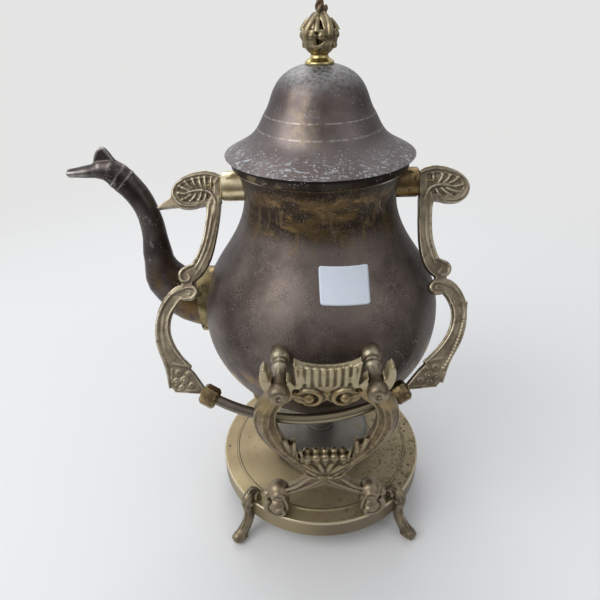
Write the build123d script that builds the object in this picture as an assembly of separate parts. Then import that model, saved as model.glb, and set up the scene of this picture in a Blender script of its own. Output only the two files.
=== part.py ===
from build123d import *
from math import atan2, cos, degrees, hypot, radians, sin, tan
import os

# A spirit kettle that rests by four pins in two cast lyre frames on a footed dish.
# Millimetres, +Z up, spout towards -X, a lyre frame at each of -Y and +Y.
# Everything is built about the kettle's own axis; the export moves it so that
# the origin lies under the middle of the whole object, on the floor.

# ---- base dish and its four feet -------------------------------------------
DISH_TOP_Z = 36.0          # the plate that the burner and the frames stand on
DISH_R = 85.0
DISH_SKIRT = 15.7
DISH_WALL = 1.6
DISH_EDGE_ROUND = 1.0      # bright rounded corner between plate and skirt
DISH_BAND_W = 11.4         # lower band outside the turned step
DISH_STEP = 0.8
FOOT_REACH = 106.0         # axis to the tip of a toe
FOOT_W = 9.0
FOOT_AZIMUTH = 47.0        # turned this far from the X axis
FOOT_HORN = 7.0            # scroll that rises over the dish's edge
RIVET_R = 1.8
RIVET_REACH = 3.5          # how far a rivet runs into its foot
RIVET_HEAD_R = 3.4
RIVET_HEAD_H = 1.4

# ---- lyre frames -----------------------------------------------------------
FRAME_FOOT_Y = 68.0        # where a frame stands on the dish
FRAME_T = 7.0
LYRE_HALF_W = 45.0         # widest bulge of the arms
COMB_HALF_W = 18.7
COMB_H = 22.0
COMB_DROP = 4.0            # foot of the flutes below the saddles
COMB_T = 5.0
COMB_FLUTES = 7
FLUTE_SINK = 1.3
EYE_R = 4.6                # ring of the volute on each side below the flutes
EYE_SINK = 1.1
SCROLL_R = 8.0             # rolled feet of the frame
SCROLL_X = 35.0
SCROLL_W = 17.0
ROLL_BUTTON_H = 1.2
KNUCKLE_R = 6.8
KNUCKLE_W = 12.0
KNUCKLE_UP = 26.0          # height of the upper roll along the leaning frame

# ---- pins that the kettle rests and tips on -------------------------------
PIN_Z = 192.0
PIN_X = 27.3               # half the distance between two pins of one side
PIN_R = 3.8
PIN_COLLAR_R = 6.2
PIN_KNOB_R = 6.2
PIN_KNOB_L = 9.5
SADDLE_CLEAR = 0.3
SADDLE_WALL = 4.2

# ---- kettle ----------------------------------------------------------------
BODY_BOTTOM_Z = 103.0
BODY_TOP_Z = 285.0
BODY_BOTTOM_R = 36.0
BELLY_R = 84.3
NECK_R = 50.2
MOUTH_R = 54.8
BODY_WALL = 1.3
COLLAR_H = 8.0             # turned ring that the lid sits on
COLLAR_OVERHANG = 1.8
COLLAR_WALL = 3.0

# ---- spout -----------------------------------------------------------------
SPOUT_ROOT_Z = 186.0
SPOUT_ROOT_HALF_H = 24.5
SPOUT_ROOT_HALF_W = 16.0
SPOUT_STEM_X = 114.3       # upright part of the swan neck
SPOUT_STEM_R = 8.2
SPOUT_TIP_X = 163.0
SPOUT_TIP_Z = 282.0
SPOUT_WALL = 1.1
SPOUT_COLLAR_W = 3.4
SPOUT_COLLAR_T = 1.6
SPOUT_SECTIONS = 31
CREST_HALF_T = 2.2

# ---- bail handle -----------------------------------------------------------
PIVOT_Z = 271.0
SOCKET_R = 9.7
SOCKET_CHAMFER = 0.8
SOCKET_END_X = 64.0
PIVOT_R = 2.6
PIVOT_RUNNING_CLEAR = 0.06
PIVOT_DEPTH = 9.0          # how far the pivot reaches into the socket
PIVOT_IN_ARM = 12.0
ARM_SEAT_GAP = 0.4
ARM_T = 6.6
ARM_HEAD_W = 33.0
BAIL_DROP = 153.5          # pivot to the middle of the grip
GRIP_R = 3.4
BLOCK_X = 62.0
BLOCK_R = 7.3
BLOCK_L = 11.0
BAIL_LEAN = 0.10           # the old bail is pushed over towards the spout
BLOCK_DROP = 0.895         # where the end blocks sit, as a share of the bail's drop
BLOCK_CHAMFER = 1.6
FOLD_START = 0.8           # radians forward, clear of the belly
FOLD_STEPS = 9
BAIL_REST_GAP = 0.4        # folded bail to the belly it lies on
BAIL_FRAME_GAP = 2.0       # folded grip to the frame in front of it

# ---- lid and finial ----------------------------------------------------------
BRIM_OVERHANG = 5.4        # brim past the kettle's mouth
LID_H = 51.0
LID_WALL = 1.2
LID_LIP_H = 9.0
LID_LIP_CLEAR = 1.0
FINIAL_R = 10.6            # openwork leaf bulb
FINIAL_BULB_Z = 15.0       # bulb's middle above the lid's top
FINIAL_H = 32.5
FINIAL_LEAVES = 6
LEAF_HALF_T = 1.6
LEAF_HALF_W = 2.8
STUD_R = 2.0
STUD_L = 4.0
NUT_R = 5.0
NUT_H = 2.4

# ---- burner ------------------------------------------------------------------
BURNER_R = 41.0
BURNER_H = 21.0
BURNER_WALL = 1.2
WICK_TUBE_R = 9.0
WICK_TUBE_H = 9.0
WICK_R = 6.0
SNUFFER_CLEAR = 0.6
SNUFFER_WALL = 1.2

# ---- places that follow from the sizes above -----------------------------------
BODY_H = BODY_TOP_Z - BODY_BOTTOM_Z
BRIM_R = MOUTH_R + BRIM_OVERHANG
BRIM_Z = BODY_TOP_Z + COLLAR_H
LID_TOP_Z = BRIM_Z + LID_H
BAND_Z = DISH_TOP_Z - DISH_STEP
ARM_X = SOCKET_END_X + ARM_SEAT_GAP
PLAN_CENTRE_X = 0.5 * (SPOUT_TIP_X - (ARM_X + ARM_HEAD_W))

BELLY_CURVE = ((0.57, 0.055), (0.765, 0.137), (0.892, 0.22), (0.968, 0.302), (1.0, 0.393),
               (0.947, 0.549), (0.73, 0.714), (0.655, 0.78))


def turned(outline, axis=Axis.Z):
    """A solid of revolution from a closed outline in the XZ plane."""
    return revolve(Plane.XZ * make_face(outline), axis)


def rod(p, q, r):
    """A round bar between two points."""
    return Solid.make_cylinder(r, (q - p).length, Plane(p, z_dir=q - p))


def belly_points(inset=0.0):
    """The kettle's outline from its flat bottom up to its mouth, moved in square to itself."""
    points = [(BODY_BOTTOM_R, BODY_BOTTOM_Z)]
    points += [(BELLY_R * r, BODY_BOTTOM_Z + BODY_H * z) for r, z in BELLY_CURVE]
    points += [(NECK_R, BODY_BOTTOM_Z + 0.879 * BODY_H), (MOUTH_R, BODY_TOP_Z)]
    moved = []
    for i, (r, z) in enumerate(points):
        (ra, za), (rb, zb) = points[max(i - 1, 0)], points[min(i + 1, len(points) - 1)]
        run = hypot(rb - ra, zb - za)
        moved.append((r - inset * (zb - za) / run, z + inset * (rb - ra) / run))
    if inset:
        moved[0] = (BODY_BOTTOM_R, BODY_BOTTOM_Z + inset)
        moved[-1] = (MOUTH_R - inset, BODY_TOP_Z)
    return moved


def belly_solid(inset=0.0):
    """The kettle as a full solid, used for its wall and to seat what is joined to it."""
    points = belly_points(inset)
    (r0, z0), (r1, z1) = points[0], points[-1]
    return turned(Spline(*points) + Polyline((r1, z1), (0, z1), (0, z0), (r0, z0)))


OUTER_BELLY = belly_solid()


def bail_plane(angle):
    """The bail's own plane, hung forward by an angle: x across, y up along the arms."""
    up = Vector(0, sin(angle), cos(angle))
    return Plane(origin=(0, 0, PIVOT_Z), x_dir=(1, 0, 0), z_dir=Vector(1, 0, 0).cross(up))


def bail_point(side, out, drop):
    """A point of the bail: out from the arm's seat, drop as a share of the bail's height."""
    y = -drop * BAIL_DROP
    return (side * (ARM_X + out) + BAIL_LEAN * min(0, y + SOCKET_R), y)


def grip_path(plane):
    ends = [bail_point(side, BLOCK_X - ARM_X, BLOCK_DROP) for side in (-1, 1)]
    middle = (BAIL_LEAN * (SOCKET_R - BAIL_DROP), -BAIL_DROP)
    return plane * ThreePointArc(ends[0], middle, ends[1])


def grip(plane):
    """The arched round bar that the hand holds."""
    path = grip_path(plane)
    return sweep(Plane(origin=path @ 0, z_dir=path % 0) * Circle(GRIP_R), path)


def block_blank(side, plane):
    """A faceted boss at the end of the grip, along the grip's own run."""
    path = grip_path(plane)
    at, run = (path @ 0, path % 0) if side < 0 else (path @ 1, path % 1)
    across = run.cross(plane.z_dir)
    start = Plane(origin=at - 0.5 * BLOCK_L * run, x_dir=across, z_dir=run)
    boss = extrude(start * RegularPolygon(BLOCK_R, 8), BLOCK_L)
    ends = boss.faces().group_by(Axis(at, run))
    return chamfer(ends[0].edges() + ends[-1].edges(), BLOCK_CHAMFER)


def hang_angle():
    """How far forward the folded bail hangs once it lies on the belly, swung in a step at a time."""
    angle = FOLD_START
    for _ in range(FOLD_STEPS):
        plane = bail_plane(angle)
        low_end = [grip(plane), block_blank(-1, plane), block_blank(1, plane)]
        gap = min(piece.distance_to(OUTER_BELLY) for piece in low_end)
        angle -= (gap - BAIL_REST_GAP) / BAIL_DROP
    return angle


HANG = hang_angle()
BAIL_PLANE = bail_plane(HANG)
GRIP_Y = BAIL_DROP * sin(HANG)
GRIP_Z = PIVOT_Z - BAIL_DROP * cos(HANG)
FRAME_SHARE = (GRIP_Z - DISH_TOP_Z) / (PIN_Z - DISH_TOP_Z)
FRAME_PASS_Y = GRIP_Y + GRIP_R + BAIL_FRAME_GAP + 0.51 * FRAME_T
SADDLE_Y = FRAME_FOOT_Y + (FRAME_PASS_Y - FRAME_FOOT_Y) / FRAME_SHARE
LEAN = atan2(SADDLE_Y - FRAME_FOOT_Y, PIN_Z - DISH_TOP_Z)
LYRE_H = hypot(SADDLE_Y - FRAME_FOOT_Y, PIN_Z - DISH_TOP_Z)
KNOB_START_Y = SADDLE_Y + 0.5 * FRAME_T + tan(LEAN) * PIN_KNOB_R + 1.6
PIN_END_Y = KNOB_START_Y + PIN_KNOB_L


def kettle_body():
    """The raised and spun body: one wall, open at the mouth and behind the spout."""
    strainer = rod(Vector(-0.5 * BELLY_R, 0, SPOUT_ROOT_Z), Vector(-2 * BELLY_R, 0, SPOUT_ROOT_Z),
                   0.6 * SPOUT_ROOT_HALF_W)
    return OUTER_BELLY - belly_solid(BODY_WALL) - strainer


def neck_collar():
    """The turned ring under the lid, lapped over the mouth, with a bead at its foot."""
    z0, z1 = BODY_TOP_Z, BRIM_Z
    r1 = MOUTH_R + COLLAR_OVERHANG
    r0 = r1 - COLLAR_WALL - COLLAR_OVERHANG
    return turned(Polyline((r0, z0), (r1 - 1.6, z0), (r1, z0 + 1.6), (r1, z1 - 1.0), (r1 - 1.0, z1),
                           (r0, z1), (r0, z0)))


def kettle_bottom():
    """The flat disc that closes the body, with a shallow foot ring."""
    r, z = BODY_BOTTOM_R, BODY_BOTTOM_Z
    return turned(Polyline((0, z), (0, z - 1.2), (r - 6, z - 1.2), (r - 5, z - 2.4), (r - 2, z - 2.4),
                           (r - 1, z), (0, z)))


def spout_head():
    """Where the swan neck is thickest again, just behind the pouring tip."""
    return SPOUT_STEM_X + 23, SPOUT_ROOT_Z + 1.02 * (SPOUT_TIP_Z - SPOUT_ROOT_Z)


def spout_sections(inset=0.0, longer=0.0):
    """Ellipses square to the swan neck's line, each between the two measured ones beside it."""
    root, rise = SPOUT_ROOT_Z, SPOUT_TIP_Z - SPOUT_ROOT_Z
    head_x, head_z = spout_head()
    stem, h, w, s = SPOUT_STEM_X, SPOUT_ROOT_HALF_H, SPOUT_ROOT_HALF_W, SPOUT_STEM_R
    measured = ((0.8 * BELLY_R - longer, root - 2, h, w),
                (stem - 21, root + 0.02 * rise, 0.86 * h, 0.92 * w),
                (stem - 5, root + 0.16 * rise, 0.66 * h, 0.76 * w),
                (stem, root + 0.36 * rise, 0.42 * h, 0.62 * w),
                (stem, root + 0.56 * rise, s, s + 0.2),
                (stem + 2, root + 0.72 * rise, 0.94 * s, 0.94 * s),
                (stem + 8, root + 0.866 * rise, s, 0.92 * s),
                (stem + 14.5, root + 0.95 * rise, 1.06 * s, 0.92 * s),
                (head_x, head_z, 0.98 * s, 0.88 * s),
                (head_x + 8.5, head_z - 0.6, 0.54 * s, 0.64 * s),
                (SPOUT_TIP_X + longer, SPOUT_TIP_Z, 0.32 * s, 0.5 * s))
    line = Spline(*[(-x, 0, z) for x, z, _, _ in measured], tangents=[(-1, 0, 0), (-1, 0, -0.08)])
    places = [line.param_at_point(Vector(-x, 0, z)) for x, z, _, _ in measured]
    sections = []
    for i in range(SPOUT_SECTIONS):
        t = i / (SPOUT_SECTIONS - 1)
        k = max(j for j in range(len(places) - 1) if t >= places[j] - 1e-6 or j == 0)
        share = min(max((t - places[k]) / (places[k + 1] - places[k]), 0), 1)
        share = share * share * (3 - 2 * share)
        half_h, half_w = [measured[k][n] * (1 - share) + measured[k + 1][n] * share for n in (2, 3)]
        plane = Plane(origin=line @ t, x_dir=(0, 1, 0), z_dir=line % t)
        sections.append(plane * Ellipse(half_w - inset, half_h - inset))
    return sections


def spout_crest():
    """The leaf that stands on the spout's crown, over the pouring tip."""
    x, z = spout_head()
    foot, tip = (-x + 9, z + 2), (-x - 8.5, z + 1)
    outline = Spline(foot, (-x + 3.5, z + 10.6), (-x - 0.8, z + 14.6), (-x - 4.2, z + 12.4),
                     (-x - 7, z + 7), tip)
    leaf = make_face(Plane.XZ * (outline + Line(tip, foot)))
    return extrude(leaf, CREST_HALF_T, both=True)


def spout():
    """The swan-neck spout, deep at its root and drawn out to a thin pouring tip."""
    bore = loft(spout_sections(SPOUT_WALL, 3), ruled=True)
    outside = loft(spout_sections(), ruled=True)
    return outside + spout_crest() - bore - OUTER_BELLY


def spout_collar():
    """The bright soldered ring round the spout's root."""
    x = -BELLY_R - SPOUT_COLLAR_W
    plane = Plane(origin=(x, 0, SPOUT_ROOT_Z - 1), x_dir=(0, 1, 0), z_dir=(1, 0, 0))
    ring = extrude(plane * Ellipse(SPOUT_ROOT_HALF_W + SPOUT_COLLAR_T, SPOUT_ROOT_HALF_H + SPOUT_COLLAR_T),
                   SPOUT_COLLAR_W + 0.2 * BELLY_R)
    return ring - OUTER_BELLY - loft(spout_sections(), ruled=True)


def pin(side_x, side_y):
    """A turned pin on the belly: collar, plain bearing, and a ball knob to stop it slipping out."""
    start, root = 0.85 * BELLY_R, 0.985 * BELLY_R
    knob, end = KNOB_START_Y, PIN_END_Y
    collar = PIN_COLLAR_R
    outline = (Polyline((0, start), (collar, start), (collar, root + 3), (PIN_R + 0.9, root + 4.4),
                        (PIN_R + 0.9, root + 6), (PIN_R, root + 7), (PIN_R, knob), (PIN_R + 1.2, knob))
               + ThreePointArc((PIN_R + 1.2, knob), (PIN_KNOB_R, 0.5 * (knob + end)), (3.0, end))
               + Polyline((3.0, end), (1.4, end), (0, end - 1.2), (0, start)))
    blank = Rot(90, 0, 0) * turned(outline)
    blank = blank if side_y < 0 else Rot(0, 0, 180) * blank
    return Pos(side_x * PIN_X, 0, PIN_Z) * blank - OUTER_BELLY


def socket(side):
    """The stub tube on the neck that a bail arm turns in."""
    start, end, bore = 0.6 * NECK_R, SOCKET_END_X, PIVOT_R + PIVOT_RUNNING_CLEAR
    outline = Polyline((bore, start), (SOCKET_R, start), (SOCKET_R, end - SOCKET_CHAMFER),
                       (SOCKET_R - SOCKET_CHAMFER, end), (bore, end), (bore, start))
    return Pos(0, 0, PIVOT_Z) * (Rot(0, 90 * side, 0) * turned(outline)) - OUTER_BELLY


def lid_sections():
    """The lid's outer curve, and the foot and inner curve of its wall."""
    z = BRIM_Z
    brim = ((BRIM_R, z), (0.907 * BRIM_R, z + 3), (0.721 * BRIM_R, z + 10), (0.645 * BRIM_R, z + 15.4))
    band = (0.632 * BRIM_R, z + 16.5)
    step = (0.566 * BRIM_R, z + 23.9)
    dome = (step, (0.53 * BRIM_R, z + 0.54 * LID_H), (0.475 * BRIM_R, z + 0.7 * LID_H),
            (0.39 * BRIM_R, z + 0.85 * LID_H), (0.24 * BRIM_R, z + 0.96 * LID_H), (0, z + LID_H))
    skin = Spline(*brim) + Line(brim[-1], band) + Line(band, step) + Spline(*dome)
    inner = [(r - LID_WALL, h - 0.35 * LID_WALL) for r, h in brim[1:] + (band, step) + dome[1:-1]]
    inner = [(BRIM_R - 1.6, z)] + inner + [(0, z + LID_H - LID_WALL)]
    wall = Spline(*inner)
    return skin, wall, inner, brim[0]


def lid_form():
    """The lid as a full solid, to seat the knob on."""
    skin, _, _, edge = lid_sections()
    return turned(skin + Polyline((0, LID_TOP_Z), (0, BRIM_Z), edge))


def stud():
    """The knob's stud, which goes down through the lid into its nut."""
    return rod(Vector(0, 0, LID_TOP_Z - LID_WALL - STUD_L), Vector(0, 0, LID_TOP_Z + 2), STUD_R)


def lid_shell():
    """The spun lid: a wide curved brim, a raised band and a bell-shaped dome."""
    skin, wall, inner, edge = lid_sections()
    return turned(skin + Line((0, LID_TOP_Z), inner[-1]) + wall + Line(inner[0], edge)) - stud()


def lid_lip():
    """The ring soldered inside the lid: a seat on the collar, and a lip that drops into it."""
    r1 = MOUTH_R - COLLAR_WALL - LID_LIP_CLEAR
    r0, seat_r = r1 - LID_WALL, MOUTH_R - 0.5
    low, seat, high = BRIM_Z - LID_LIP_H, BRIM_Z + LID_WALL, BRIM_Z + 0.2 * LID_H
    ring = turned(Polyline((r0, low), (r1, low), (r1, BRIM_Z), (seat_r, BRIM_Z), (seat_r, seat), (r1, seat),
                           (r1, high), (r0, high), (r0, low)))
    above = rod(Vector(0, 0, BRIM_Z), Vector(0, 0, high), BRIM_R) - lid_form()
    return ring - above - lid_shell()


def finial():
    """The cast knob: a turned foot, a bulb of curled leaves open between them, and a twisted tip."""
    z = LID_TOP_Z
    foot = turned(Polyline((0, z - 3), (8.9, z - 3), (8.6, z + 1), (5.6, z + 3), (4.6, z + 5.4),
                           (5.8, z + 6.6), (0, z + 6.6), (0, z - 3))) - lid_form() + stud()
    middle, top = z + FINIAL_BULB_Z, z + FINIAL_H
    stem = turned(Polyline((0, z + 6), (2.2, z + 6), (1.7, middle), (2.4, middle + 8.4), (1.9, top - 4),
                           (1.0, top), (0, top), (0, z + 6)))
    path = ThreePointArc((2.6, 0, middle - 9.6), (FINIAL_R - LEAF_HALF_T, 0, middle), (2.2, 0, middle + 9.6))
    section = Plane(origin=path @ 0, x_dir=(0, 1, 0), z_dir=path % 0) * Ellipse(LEAF_HALF_W, LEAF_HALF_T)
    leaf = sweep(section, path)
    knob = foot + stem
    for i in range(FINIAL_LEAVES):
        knob += Rot(0, 0, i * 360 / FINIAL_LEAVES) * leaf
    curl = Pos(3.0, 0, top - 5) * Sphere(1.8)
    return knob + curl


def finial_nut():
    """The nut inside the lid that holds the knob."""
    nut = extrude(RegularPolygon(NUT_R, 6), NUT_H)
    return Pos(0, 0, LID_TOP_Z - LID_WALL - NUT_H - 0.3) * nut - stud()


def band(side, one_edge, other_edge):
    """A flat face between two curved edges."""
    a = [bail_point(side, *p) for p in one_edge]
    b = [bail_point(side, *p) for p in other_edge]
    return make_face(Spline(*a) + Line(a[-1], b[0]) + Spline(*b) + Line(b[-1], a[0]))


def disc(side, out, drop, r):
    return Pos(*bail_point(side, out, drop)) * Circle(r)


def bail_arm(side):
    """A cast scroll arm: leafed head, slender stem, two facing volutes and a leafed C-scroll."""
    head = band(side, ((0.2, -0.042), (10, -0.064), (20, -0.053), (28, -0.026), (ARM_HEAD_W, 0.03),
                       (29.5, 0.082), (22, 0.096), (15, 0.088)), ((12, 0.085), (0.2, 0.07)))
    stem = band(side, ((10.5, 0.06), (8.8, 0.13), (7.9, 0.23), (10.2, 0.3), (15.5, 0.345)),
                ((15, 0.41), (8.5, 0.372), (4.2, 0.31), (2.0, 0.23), (0.8, 0.14), (0.2, 0.02)))
    scroll = band(side, ((17, 0.42), (24.3, 0.424), (31, 0.463), (35.2, 0.518), (36.2, 0.58), (35.1, 0.655),
                         (31.4, 0.714), (25.8, 0.775), (20.5, 0.873)),
                  ((-1.5, 0.885), (5.5, 0.827), (10.5, 0.788), (17.5, 0.747), (24.3, 0.69), (28.9, 0.628),
                   (29.8, 0.562), (27, 0.512), (21, 0.478)))
    volutes = disc(side, 18.8, 0.374, 5.3) + disc(side, 18.2, 0.414, 3.4) + disc(side, 16.8, 0.452, 5.4)
    outline = head + stem + scroll + volutes
    if side < 0:
        outline += band(side, ((28, 0.02), (42.2, 0.089)), ((41.4, 0.093), (27, 0.085)))
    blank = extrude(BAIL_PLANE * outline, 0.5 * ARM_T, both=True)
    panel = band(side, ((5, -0.025), (14, -0.043), (24, -0.02), (29.3, 0.028), (24, 0.071)),
                 ((15, 0.066), (5, 0.05)))
    for way in (-1, 1):
        sunk = BAIL_PLANE.offset(way * 0.5 * ARM_T) * panel
        blank -= extrude(sunk, 0.8, both=True)
    blank -= pivot_pin(side) + block_blank(side, BAIL_PLANE)
    return max(blank.solids(), key=lambda piece: piece.volume)


def pivot_pin(side):
    """The pin that runs from the arm's edge into the socket."""
    inner, outer = SOCKET_END_X - PIVOT_DEPTH, ARM_X + PIVOT_IN_ARM
    return rod(Vector(side * inner, 0, PIVOT_Z), Vector(side * outer, 0, PIVOT_Z), PIVOT_R)


def bail_block(side):
    return block_blank(side, BAIL_PLANE) - grip(BAIL_PLANE)


def lyre_plane():
    """The leaning plane of the front frame: x across, y up the frame, on the dish at y = 0."""
    return Plane(origin=(0, -FRAME_FOOT_Y, DISH_TOP_Z), x_dir=(1, 0, 0), z_dir=(0, -cos(LEAN), -sin(LEAN)))


def lyre_band(side, one_edge, other_edge):
    """A flat face between two curved edges, in shares of the lyre's half width and height."""
    a, b = [[(side * x * LYRE_HALF_W, y * LYRE_H) for x, y in edge] for edge in (one_edge, other_edge)]
    return make_face(Spline(*a) + Line(a[-1], b[0]) + Spline(*b) + Line(b[-1], a[0]))


def lyre_arm(side):
    """One arm from its saddle boss, round the bulge and in to the crossing."""
    top = PIN_X / LYRE_HALF_W
    outer = ((top + 0.16, 0.95), (top + 0.22, 0.9), (0.93, 0.855), (0.99, 0.8), (1.0, 0.74), (0.95, 0.665),
             (0.86, 0.6), (0.72, 0.53), (0.56, 0.465), (0.4, 0.38), (0.2, 0.3))
    inner = ((0.05, 0.39), (0.24, 0.43), (0.4, 0.48), (0.52, 0.55), (0.61, 0.615), (0.665, 0.67),
             (0.695, 0.735), (0.675, 0.81), (0.6, 0.865), (top - 0.12, 0.9), (top - 0.16, 0.95))
    boss = Pos(side * PIN_X, LYRE_H - 3) * Circle(PIN_R + SADDLE_CLEAR + SADDLE_WALL)
    tip = (top + 0.18, 1.09)
    horn = lyre_band(side, ((top + 0.06, 0.94), (top + 0.17, 0.965), (top + 0.24, 1.02), tip),
                     ((top + 0.13, 1.07), (top + 0.1, 1.0), (top + 0.06, 0.95)))
    leaf = lyre_band(side, ((0.6, 0.57), (0.52, 0.57), (0.465, 0.605)),
                     ((0.44, 0.59), (0.42, 0.53), (0.4, 0.46)))
    return lyre_band(side, outer, inner) + boss + horn + leaf


def lyre_crossing():
    """The shell where the arms cross, its three leaf tips, and the arch between the legs."""
    w, h = LYRE_HALF_W, LYRE_H
    shell = Pos(0, 0.38 * h) * Ellipse(0.36 * w, 0.09 * h)
    for x in (-0.27, 0, 0.27):
        shell += Pos(x * w, 0.462 * h) * Circle(0.08 * w)
    for side in (-1, 1):
        shell += lyre_band(side, ((0, 0.232), (0.22, 0.2), (0.5, 0.15), (0.72, 0.115)),
                           ((0.8, 0.16), (0.6, 0.198), (0.42, 0.232), (0.29, 0.29), (0, 0.34)))
    return shell


def roll(middle, r, width):
    """A cast scroll seen as a barrel lying across the frame, with a button at each end."""
    end, rim = 0.5 * width, 0.5 * width - ROLL_BUTTON_H
    outline = (Polyline((0, -end), (0.35 * r, -end), (0.4 * r, -rim), (0.8 * r, -rim))
               + ThreePointArc((0.8 * r, -rim), (r, 0), (0.8 * r, rim))
               + Polyline((0.8 * r, rim), (0.4 * r, rim), (0.35 * r, end), (0, end), (0, -end)))
    return Pos(*middle) * (Rot(0, 90, 0) * turned(outline))


def lyre_foot(side):
    """A rolled foot: an upper knuckle, a neck, and a toe that is filed flat where it stands."""
    x = side * SCROLL_X
    knuckle = Vector(x, -FRAME_FOOT_Y - KNUCKLE_UP * sin(LEAN), DISH_TOP_Z + KNUCKLE_UP * cos(LEAN))
    toe = Vector(x, -FRAME_FOOT_Y - 2, DISH_TOP_Z + 0.9 * SCROLL_R)
    rolls = roll(knuckle, KNUCKLE_R, KNUCKLE_W) + roll(toe, SCROLL_R, SCROLL_W)
    return rolls + rod(knuckle, toe, 0.5 * FRAME_T)


def comb():
    """The fluted bridge between the saddles, with a horn at each corner and two S-volutes below."""
    w, foot = COMB_HALF_W, LYRE_H - COMB_DROP
    top, face = foot + COMB_H, 0.5 * COMB_T + 0.4
    eye_y = foot - 2.1 * EYE_R
    low, waist, dip = foot - 1.3 * EYE_R, foot + 0.5 * COMB_H, top - 0.27 * COMB_H
    left = Spline((-0.86 * w, low), (-0.93 * w, waist), (-w, top))
    crown = Spline((-w, top), (-0.72 * w, top - 0.18 * COMB_H), (-0.4 * w, dip), (0.4 * w, dip),
                   (0.72 * w, top - 0.18 * COMB_H), (w, top))
    right = Spline((w, top), (0.93 * w, waist), (0.86 * w, low))
    outline = left + crown + right + Line((0.86 * w, low), (-0.86 * w, low))
    plate = extrude(lyre_plane() * make_face(outline), 0.5 * COMB_T, both=True)
    pitch = 1.6 * w / COMB_FLUTES
    flute_r = 0.42 * pitch
    for i in range(COMB_FLUTES):
        x = (i - 0.5 * (COMB_FLUTES - 1)) * pitch
        groove = Pos(x, foot + 0.5 * COMB_H, 0) * (Rot(90, 0, 0) * Cylinder(flute_r, COMB_H))
        plate -= lyre_plane().offset(0.5 * COMB_T + flute_r - FLUTE_SINK).location * groove
    lower = Sketch()
    for side in (-1, 1):
        lower += Pos(side * 0.52 * w, eye_y) * Ellipse(0.55 * w, 1.45 * EYE_R)
        lower += Pos(side * (w + 0.5), eye_y + 2) * Ellipse(PIN_X - w - 1, 2.6)
    volutes = extrude(lyre_plane() * lower, face, both=True)
    for side in (-1, 1):
        eye = Pos(side * 0.52 * w, eye_y) * (Circle(EYE_R) - Circle(0.5 * EYE_R))
        volutes -= extrude(lyre_plane().offset(face) * eye, -EYE_SINK)
    return plate + volutes


def lyre_frame(side_y):
    """A whole cast frame, with saddles cut for the pins and its feet seated on the dish."""
    outline = lyre_crossing()
    for side in (-1, 1):
        outline += lyre_arm(side)
    frame = extrude(lyre_plane() * outline, 0.5 * FRAME_T, both=True) + comb()
    r = PIN_R + SADDLE_CLEAR
    for side in (-1, 1):
        frame += lyre_foot(side)
        frame -= Pos(side * PIN_X, -SADDLE_Y, PIN_Z) * (Rot(90, 0, 0) * Cylinder(r, 4 * FRAME_T))
        frame -= Pos(side * PIN_X, -SADDLE_Y, PIN_Z + COMB_H) * Box(2 * r, 4 * FRAME_T, 2 * COMB_H)
    under = Box(4 * LYRE_HALF_W, 4 * FRAME_FOOT_Y, 2 * FRAME_FOOT_Y)
    frame -= Pos(0, -FRAME_FOOT_Y, BAND_Z - FRAME_FOOT_Y) * under
    frame = frame if side_y < 0 else Rot(0, 0, 180) * frame
    for screw in frame_screws():
        frame -= screw
    return frame - dish_form(False)


def frame_screw_places():
    return [(x * SCROLL_X, y * (FRAME_FOOT_Y + 1)) for x in (-1, 1) for y in (-1, 1)]


def frame_screws():
    """Four screws that hold the frames from under the dish."""
    screws = []
    under = BAND_Z - DISH_WALL
    for x, y in frame_screw_places():
        shank = rod(Vector(x, y, under - 1), Vector(x, y, DISH_TOP_Z + 9), RIVET_R)
        screws.append(shank + rod(Vector(x, y, under - 2), Vector(x, y, under), RIVET_HEAD_R))
    return screws


def dish_form(inside):
    """The dish's section; the inside one is a wall thinner and runs open at the foot."""
    t = DISH_WALL if inside else 0.0
    step, top, r = DISH_R - DISH_BAND_W - 0.5 * t, DISH_TOP_Z - t, DISH_R - t
    foot, low = DISH_TOP_Z - DISH_SKIRT - t, top - DISH_STEP
    e = DISH_EDGE_ROUND
    return turned(Polyline((0, foot), (0, top), (step, top), (step + DISH_STEP, low), (r - e, low))
                  + ThreePointArc((r - e, low), (r - 0.29 * e, low - 0.29 * e), (r, low - e))
                  + Polyline((r, low - e), (r, foot), (0, foot)))


def base_dish():
    """The spun dish, turned over: a flat plate with a turned step, and a plain skirt."""
    dish = dish_form(False) - dish_form(True)
    for fastener in foot_rivets() + frame_screws():
        dish -= fastener
    return dish


def foot_rivets():
    """One rivet through the skirt for each foot."""
    rivets = []
    z = DISH_TOP_Z - 0.55 * DISH_SKIRT
    for azimuth in foot_azimuths():
        out, up = Vector(cos(radians(azimuth)), sin(radians(azimuth)), 0), Vector(0, 0, z)
        inner = DISH_R - DISH_WALL
        shank = rod(out * (inner - 1) + up, out * (DISH_R + RIVET_REACH) + up, RIVET_R)
        head = rod(out * (inner - RIVET_HEAD_H) + up, out * inner + up, RIVET_HEAD_R)
        rivets.append(shank + head)
    return rivets


def foot_azimuths():
    a = FOOT_AZIMUTH
    return (a, 180 - a, 180 + a, -a)


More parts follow.
